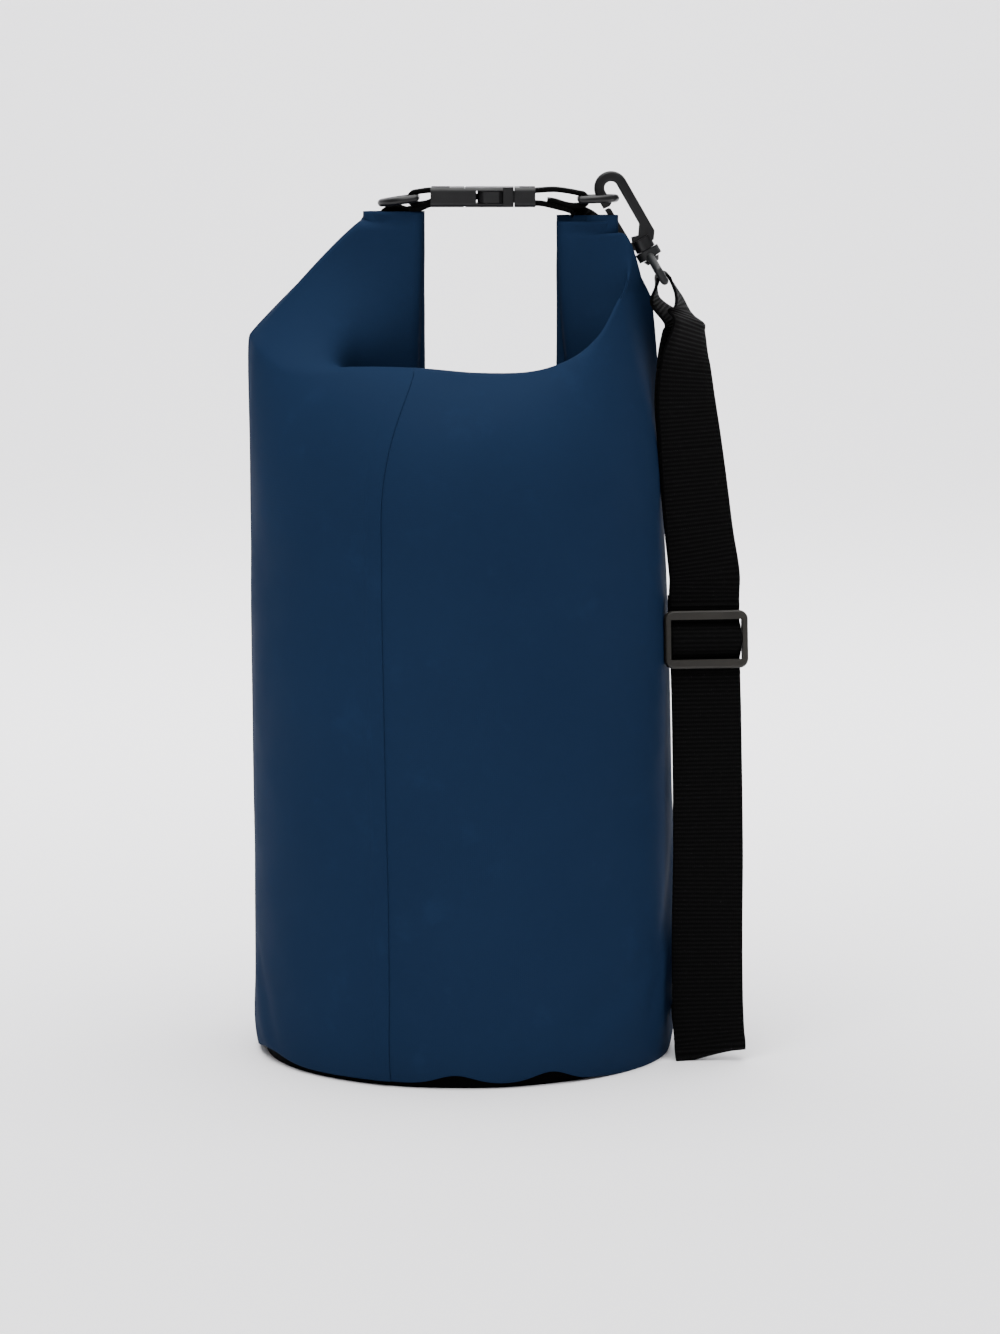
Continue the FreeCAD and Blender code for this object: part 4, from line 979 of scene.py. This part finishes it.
class ROPEBAG_OT_strap(Operator):
    """Builds the shoulder strap in pieces, cut where it passes its rings, hooks and swivels"""
    bl_idname = "rope_bag.strap"
    bl_label = "Shoulder strap"

    def execute(self, context):
        """Cuts the strap where it hands over from one moving body to the next."""
        web = context.scene.rope_bag_webbing
        back, loop, front_layer, lower = strap_route(web.strap_width)
        dense = resample(back + loop + front_layer + lower, 1.6 * MM)
        top = min(range(len(dense)), key=lambda i: (dense[i][0] - loop[5][0]).length)

        def at_height(low, high, z):
            return min(range(low, high), key=lambda i: abs(dense[i][0].z - z))

        down_end = at_height(top, len(dense), 0.24)
        up = [at_height(0, top, z) for z in UPPER_CUTS]
        down = [at_height(top, down_end, z) for z in reversed(UPPER_CUTS)]
        low = self.lower_cuts(dense, down_end)
        pieces = [("strap_back_low", 0, up[0], "slider", "bag")]
        for k in range(3):
            pieces.append((f"strap_back_{k + 1}", up[k], up[k + 1], UPPER_CHAIN[k], UPPER_CHAIN[k + 1]))
        pieces.append(("strap_loop_end", up[3], down[0], "upper_loop", None))
        for k in range(3):
            pieces.append((f"strap_front_{3 - k}", down[k], down[k + 1], *reversed(UPPER_CHAIN[2 - k:4 - k])))
        pieces.append(("strap_run", down[3], low[0], "bag", None))
        for k in range(3):
            pieces.append((f"strap_lower_{k + 1}", low[k], low[k + 1], LOWER_CHAIN[k], LOWER_CHAIN[k + 1]))
        pieces.append(("strap_lower_end", low[3], len(dense) - 1, "lower_loop", None))
        for name, first, last, a, b in pieces:
            piece = webbing(name, dense[first:last + 1], web.thickness, strap_material(context))
            if name == "strap_run":
                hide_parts("shoulder_strap")
            if b is None:
                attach(piece, a)
            else:
                # Both ends stay whole, so that they meet their neighbours edge to edge.
                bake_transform(piece)
        self.sewing(context, web)
        return {"FINISHED"}

    def lower_cuts(self, dense, after):
        """Stations where the lower end hands over, counted back from the lower loop."""
        bar, _, _ = loop_frame("lower_swivel_turn", UP)
        arrive = min(range(after, len(dense) - 1), key=lambda i: (dense[i][0] - bar).length)
        return [min(range(after, arrive), key=lambda i: abs(dense[arrive][4] - dense[i][4] - before))
                for before in LOWER_CUTS]

    def sewing(self, context, web):
        """The sewn end round the slider's middle bar, the wrap over its front, and the box stitching."""
        width = web.strap_width
        material = strap_material(context)
        hem = at_slider([(24.0, -6.6), (12.0, -7.0), (4.0, -7.0), (-1.6, -6.5), (-4.0, -4.6), (-4.3, -1.6),
                         (-2.6, 0.85), (1.4, 0.85), (4.1, -0.9), (5.6, -3.3)], width)
        end = webbing("strap_sewn_end", resample(hem, 0.9 * MM), web.thickness * 0.96, material)
        over = at_slider([(19.0, -0.9), (15.0, -1.9), (10.8, -2.3), (6.4, 1.0), (2.4, 3.1), (-2.4, 3.1),
                          (-6.4, 1.0), (-10.8, -2.3), (-15.0, -1.9), (-19.0, -0.9)], width)
        wrap = webbing("strap_over_slider", resample(over, 0.9 * MM), web.thickness * 1.02, material)
        origin, across, up, out = slider_frame()

        def spot(u, v):
            return origin + across * (u * MM) + up * (v * MM) - out * (7.85 * MM)

        box = stitches("strap_box_stitch", box_stitch(spot, -15, 9, 15, 21, -out), thread_material(context),
                       web.stitch_length)
        for piece in (end, wrap, box):
            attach(piece, "slider")
        bar, x, z = loop_frame("lower_swivel_turn", UP)

        def low_spot(v, w):
            return bar - z * (v * MM) + UP * (w * MM) - x * (3.9 * MM)

        lines = [(low_spot(v, -15), low_spot(v, 15), -x) for v in (14, 16.5, 26)]
        tack = stitches("strap_lower_stitch", lines, thread_material(context), web.stitch_length)
        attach(tack, "lower_loop")


# ---------------------------------------------------------------- hardware
class ROPEBAG_OT_hardware(Operator):
    """Gives the buckle, rings, hooks and slider their moulded finishes"""
    bl_idname = "rope_bag.hardware"
    bl_label = "Hardware"

    def execute(self, context):
        s = context.scene.rope_bag_hardware
        buckle = material_of("acetal_buckle", moulded_plastic, tuple(s.buckle_colour), 0.42)
        hook = material_of("acetal_hook", moulded_plastic, tuple(s.hook_colour), 0.36)
        swivel = material_of("acetal_swivel", moulded_plastic, tuple(s.swivel_colour), 0.46)
        slider = material_of("acetal_slider", moulded_plastic, tuple(s.slider_colour), 0.44)
        finishes = {
            buckle: ("buckle_socket", "buckle_plug", "buckle_arm_front", "buckle_arm_back"),
            hook: ("left_d_ring", "right_d_ring", "lower_d_ring", "upper_hook_body", "upper_hook_gate",
                   "lower_hook_body", "lower_hook_gate"),
            swivel: ("upper_swivel_loop", "lower_swivel_loop"),
            slider: ("strap_slider",),
        }
        for material, names in finishes.items():
            for name in names:
                paint_node(name, material)
        return {"FINISHED"}


# ---------------------------------------------------------------- the lower anchor
class ROPEBAG_OT_anchor(Operator):
    """Builds the welded patch and the webbing tab that hold the lower ring"""
    bl_idname = "rope_bag.anchor"
    bl_label = "Lower anchor"

    def execute(self, context):
        web = context.scene.rope_bag_webbing
        low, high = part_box("anchor_patch")
        inner, outer = WALL_R + 0.35 * MM, WALL_R + 1.35 * MM
        width, height = high.x - low.x, high.z - low.z
        columns, rows = 60, 40
        points, layout = [], []
        for r in range(rows + 1):
            for c in range(columns + 1):
                u, v = c / columns, r / rows
                edge = min(min(u, 1 - u) * width, min(v, 1 - v) * height)
                radius = inner + (outer - inner) * smooth_step(edge / (1.6 * MM))
                pressed = smooth_step((edge - 3 * MM) / (0.6 * MM)) * smooth_step((7 * MM - edge) / (0.6 * MM))
                radius -= 0.35 * MM * pressed
                corner = self.corner_pull(u, v, width, height)
                x, z = low.x + u * width + corner[0], low.z + v * height + corner[1]
                points.append(Vector((x, math.sqrt(radius ** 2 - x ** 2), z)))
                layout.append((x, z))
        faces = [tuple(reversed(f)) for f in grid_faces(rows + 1, columns + 1)]
        patch = mesh_object("anchor_patch_welded", points, faces, base_material(context), layout)
        thicken(patch, 0.9 * MM)
        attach(patch, "bag")
        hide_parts("anchor_patch")
        self.tab(context, web)
        return {"FINISHED"}

    def corner_pull(self, u, v, width, height):
        """Rounds the patch's corners by drawing them in."""
        radius = 8 * MM
        x, z = min(u, 1 - u) * width, min(v, 1 - v) * height
        if x >= radius or z >= radius:
            return 0.0, 0.0
        away = math.hypot(radius - x, radius - z)
        reach = max(radius - x, radius - z)
        if away < 1e-9:
            return 0.0, 0.0
        shrink = 1 - reach / away
        return ((radius - x) * shrink * (1 if u < 0.5 else -1), (radius - z) * shrink * (1 if v < 0.5 else -1))

    def tab(self, context, web):
        ring = Vector(JOINTS["lower_ring_swing"]["pos_m"])
        radius = WALL_R + 1.4 * MM + 0.15 * MM + web.thickness / 2
        outer = radius + web.thickness + 0.2 * MM

        def on(r, x):
            return Vector((x * MM, math.sqrt(r ** 2 - (x * MM) ** 2), ring.z))

        points = [on(radius, x) for x in (-30, -24, -18, -12, -6, -1)]
        for i in range(9):
            a = math.radians(-80 + 180 * i / 8)
            points.append(ring + Vector((math.cos(a), math.sin(a), 0)) * WEB_LOOP)
        points.append(on(outer + 1.4 * MM, -3.5))
        points += [on(outer, x) for x in (-8, -12, -18, -24, -29)]
        stations = [(p, UP, web.lip_width) for p in points]
        tab = webbing("anchor_webbing", resample(stations, 0.9 * MM), web.thickness * 0.94,
                      lip_webbing_material(context))
        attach(tab, "bag")
        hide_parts("anchor_tab")
        face = outer + web.thickness / 2 + 0.1 * MM

        def spot(x, z):
            return on(face, x) + UP * (z * MM)

        out = Vector((-0.15, 0.99, 0)).normalized()
        lines = box_stitch(spot, -27, -9.5, -10, 9.5, out)
        sewn = stitches("anchor_stitches", lines, thread_material(context), web.stitch_length)
        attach(sewn, "bag")


# ---------------------------------------------------------------- stage
# Each light's place, the place that it faces (or None for the bag's middle), its size and its power.
LIGHTS = {
    "key": ((-0.5, -1.5, 1.7), None, 1.2, 20), "fill": ((1.9, -1.8, 1.0), None, 1.8, 3),
    "top": ((0.0, -0.2, 2.7), (0.0, -0.2, 0.0), 3.0, 162),
    "backdrop": ((0.0, 1.3, 2.6), (0.0, 4.0, 0.9), 3.0, 176),
}
# The paper's section, from in front of the bag to the backdrop's top, in metres.
SWEEP_PROFILE = [(-6.0, 0.0), (2.6, 0.0), (3.2, 0.06), (3.7, 0.3), (4.0, 0.8), (4.1, 1.6), (4.1, 6.0)]
SWEEP_HALF_WIDTH = 8
SKY = ((0.93, 0.93, 0.97, 1.0), 0.43)      # colour and strength
AIM_DROP = 0.027                           # how far below the middle of the bag the camera is aimed


class ROPEBAG_OT_stage(Operator):
    """Sets up the plain floor, the soft studio light and the camera"""
    bl_idname = "rope_bag.stage"
    bl_label = "Stage"

    def execute(self, context):
        s = context.scene.rope_bag_stage
        self.sweep(tuple(s.floor_colour))
        middle = (CAD_BOX[0] + CAD_BOX[1]) / 2
        target = Vector((middle.x, 0, middle.z - AIM_DROP))
        for name, (place, aim, size, power) in LIGHTS.items():
            self.light(name, Vector(place), Vector(aim) if aim else target, size, power)
        self.camera(s, target)
        return {"FINISHED"}

    def sweep(self, colour):
        """Seamless paper: a floor that curves up into a backdrop, far behind."""
        points = [Vector((x, y, z)) for y, z in SWEEP_PROFILE for x in (-SWEEP_HALF_WIDTH, SWEEP_HALF_WIDTH)]
        faces = [tuple(reversed(f)) for f in grid_faces(len(SWEEP_PROFILE), 2)]
        material = material_of("seamless_paper", seamless_paper, colour)
        paper = mesh_object("studio_sweep", points, faces, material)
        rounding = paper.modifiers.new("rounding", "SUBSURF")
        rounding.levels = rounding.render_levels = 3
        world = bpy.context.scene.world or bpy.data.worlds.new("studio")
        bpy.context.scene.world = world
        world.use_nodes = True
        tree = world.node_tree
        tree.nodes.clear()
        add_node(tree, "OutputWorld", add_node(tree, "Background", *SKY))

    def light(self, name, place, target, size, power):
        lamp = bpy.data.lights.new(name, "AREA")
        lamp.size = size
        lamp.energy = power
        obj = bpy.data.objects.new(name, lamp)
        obj.location = place
        obj.rotation_euler = (target - place).to_track_quat("-Z", "Y").to_euler()
        bpy.context.scene.collection.objects.link(obj)

    def camera(self, s, target):
        data = bpy.data.cameras.new("camera")
        data.lens = s.camera_lens
        data.sensor_width = 36
        obj = bpy.data.objects.new("camera", data)
        e = s.camera_elevation
        back = Vector((0, -math.cos(e), math.sin(e)))
        obj.location = target + back * s.camera_distance
        obj.rotation_mode = "QUATERNION"
        obj.rotation_quaternion = (-back).to_track_quat("-Z", "Y")
        bpy.context.scene.collection.objects.link(obj)
        bpy.context.scene.camera = obj


# ---------------------------------------------------------------- panel and registration
OPERATORS = (
    ROPEBAG_OT_stage, ROPEBAG_OT_base, ROPEBAG_OT_wall, ROPEBAG_OT_closure, ROPEBAG_OT_closure_webbing,
    ROPEBAG_OT_strap, ROPEBAG_OT_anchor, ROPEBAG_OT_hardware,
)


class ROPEBAG_PT_panel(Panel):
    """Settings and build steps of the rope storage bag"""
    bl_idname = "ROPEBAG_PT_panel"
    bl_label = "Rope storage bag"
    bl_space_type = "VIEW_3D"
    bl_region_type = "UI"
    bl_category = "Rope bag"

    def draw(self, context):
        for group in GROUPS:
            settings = getattr(context.scene, group)
            box = self.layout.box()
            for name in settings.__annotations__:
                box.prop(settings, name)
        for operator in OPERATORS:
            self.layout.operator(operator.bl_idname)


GROUPS = {"rope_bag": BagSettings, "rope_bag_webbing": WebbingSettings, "rope_bag_hardware": HardwareSettings,
          "rope_bag_stage": StageSettings}


def register():
    for cls in (*GROUPS.values(), *OPERATORS, ROPEBAG_PT_panel):
        bpy.utils.register_class(cls)
    for name, cls in GROUPS.items():
        setattr(bpy.types.Scene, name, PointerProperty(type=cls))


def unregister():
    for name in GROUPS:
        delattr(bpy.types.Scene, name)
    for cls in reversed((*GROUPS.values(), *OPERATORS, ROPEBAG_PT_panel)):
        bpy.utils.unregister_class(cls)


def main():
    register()
    for operator in OPERATORS:
        group, name = operator.bl_idname.split(".")
        getattr(getattr(bpy.ops, group), name)()


if __name__ == "__main__":
    main()
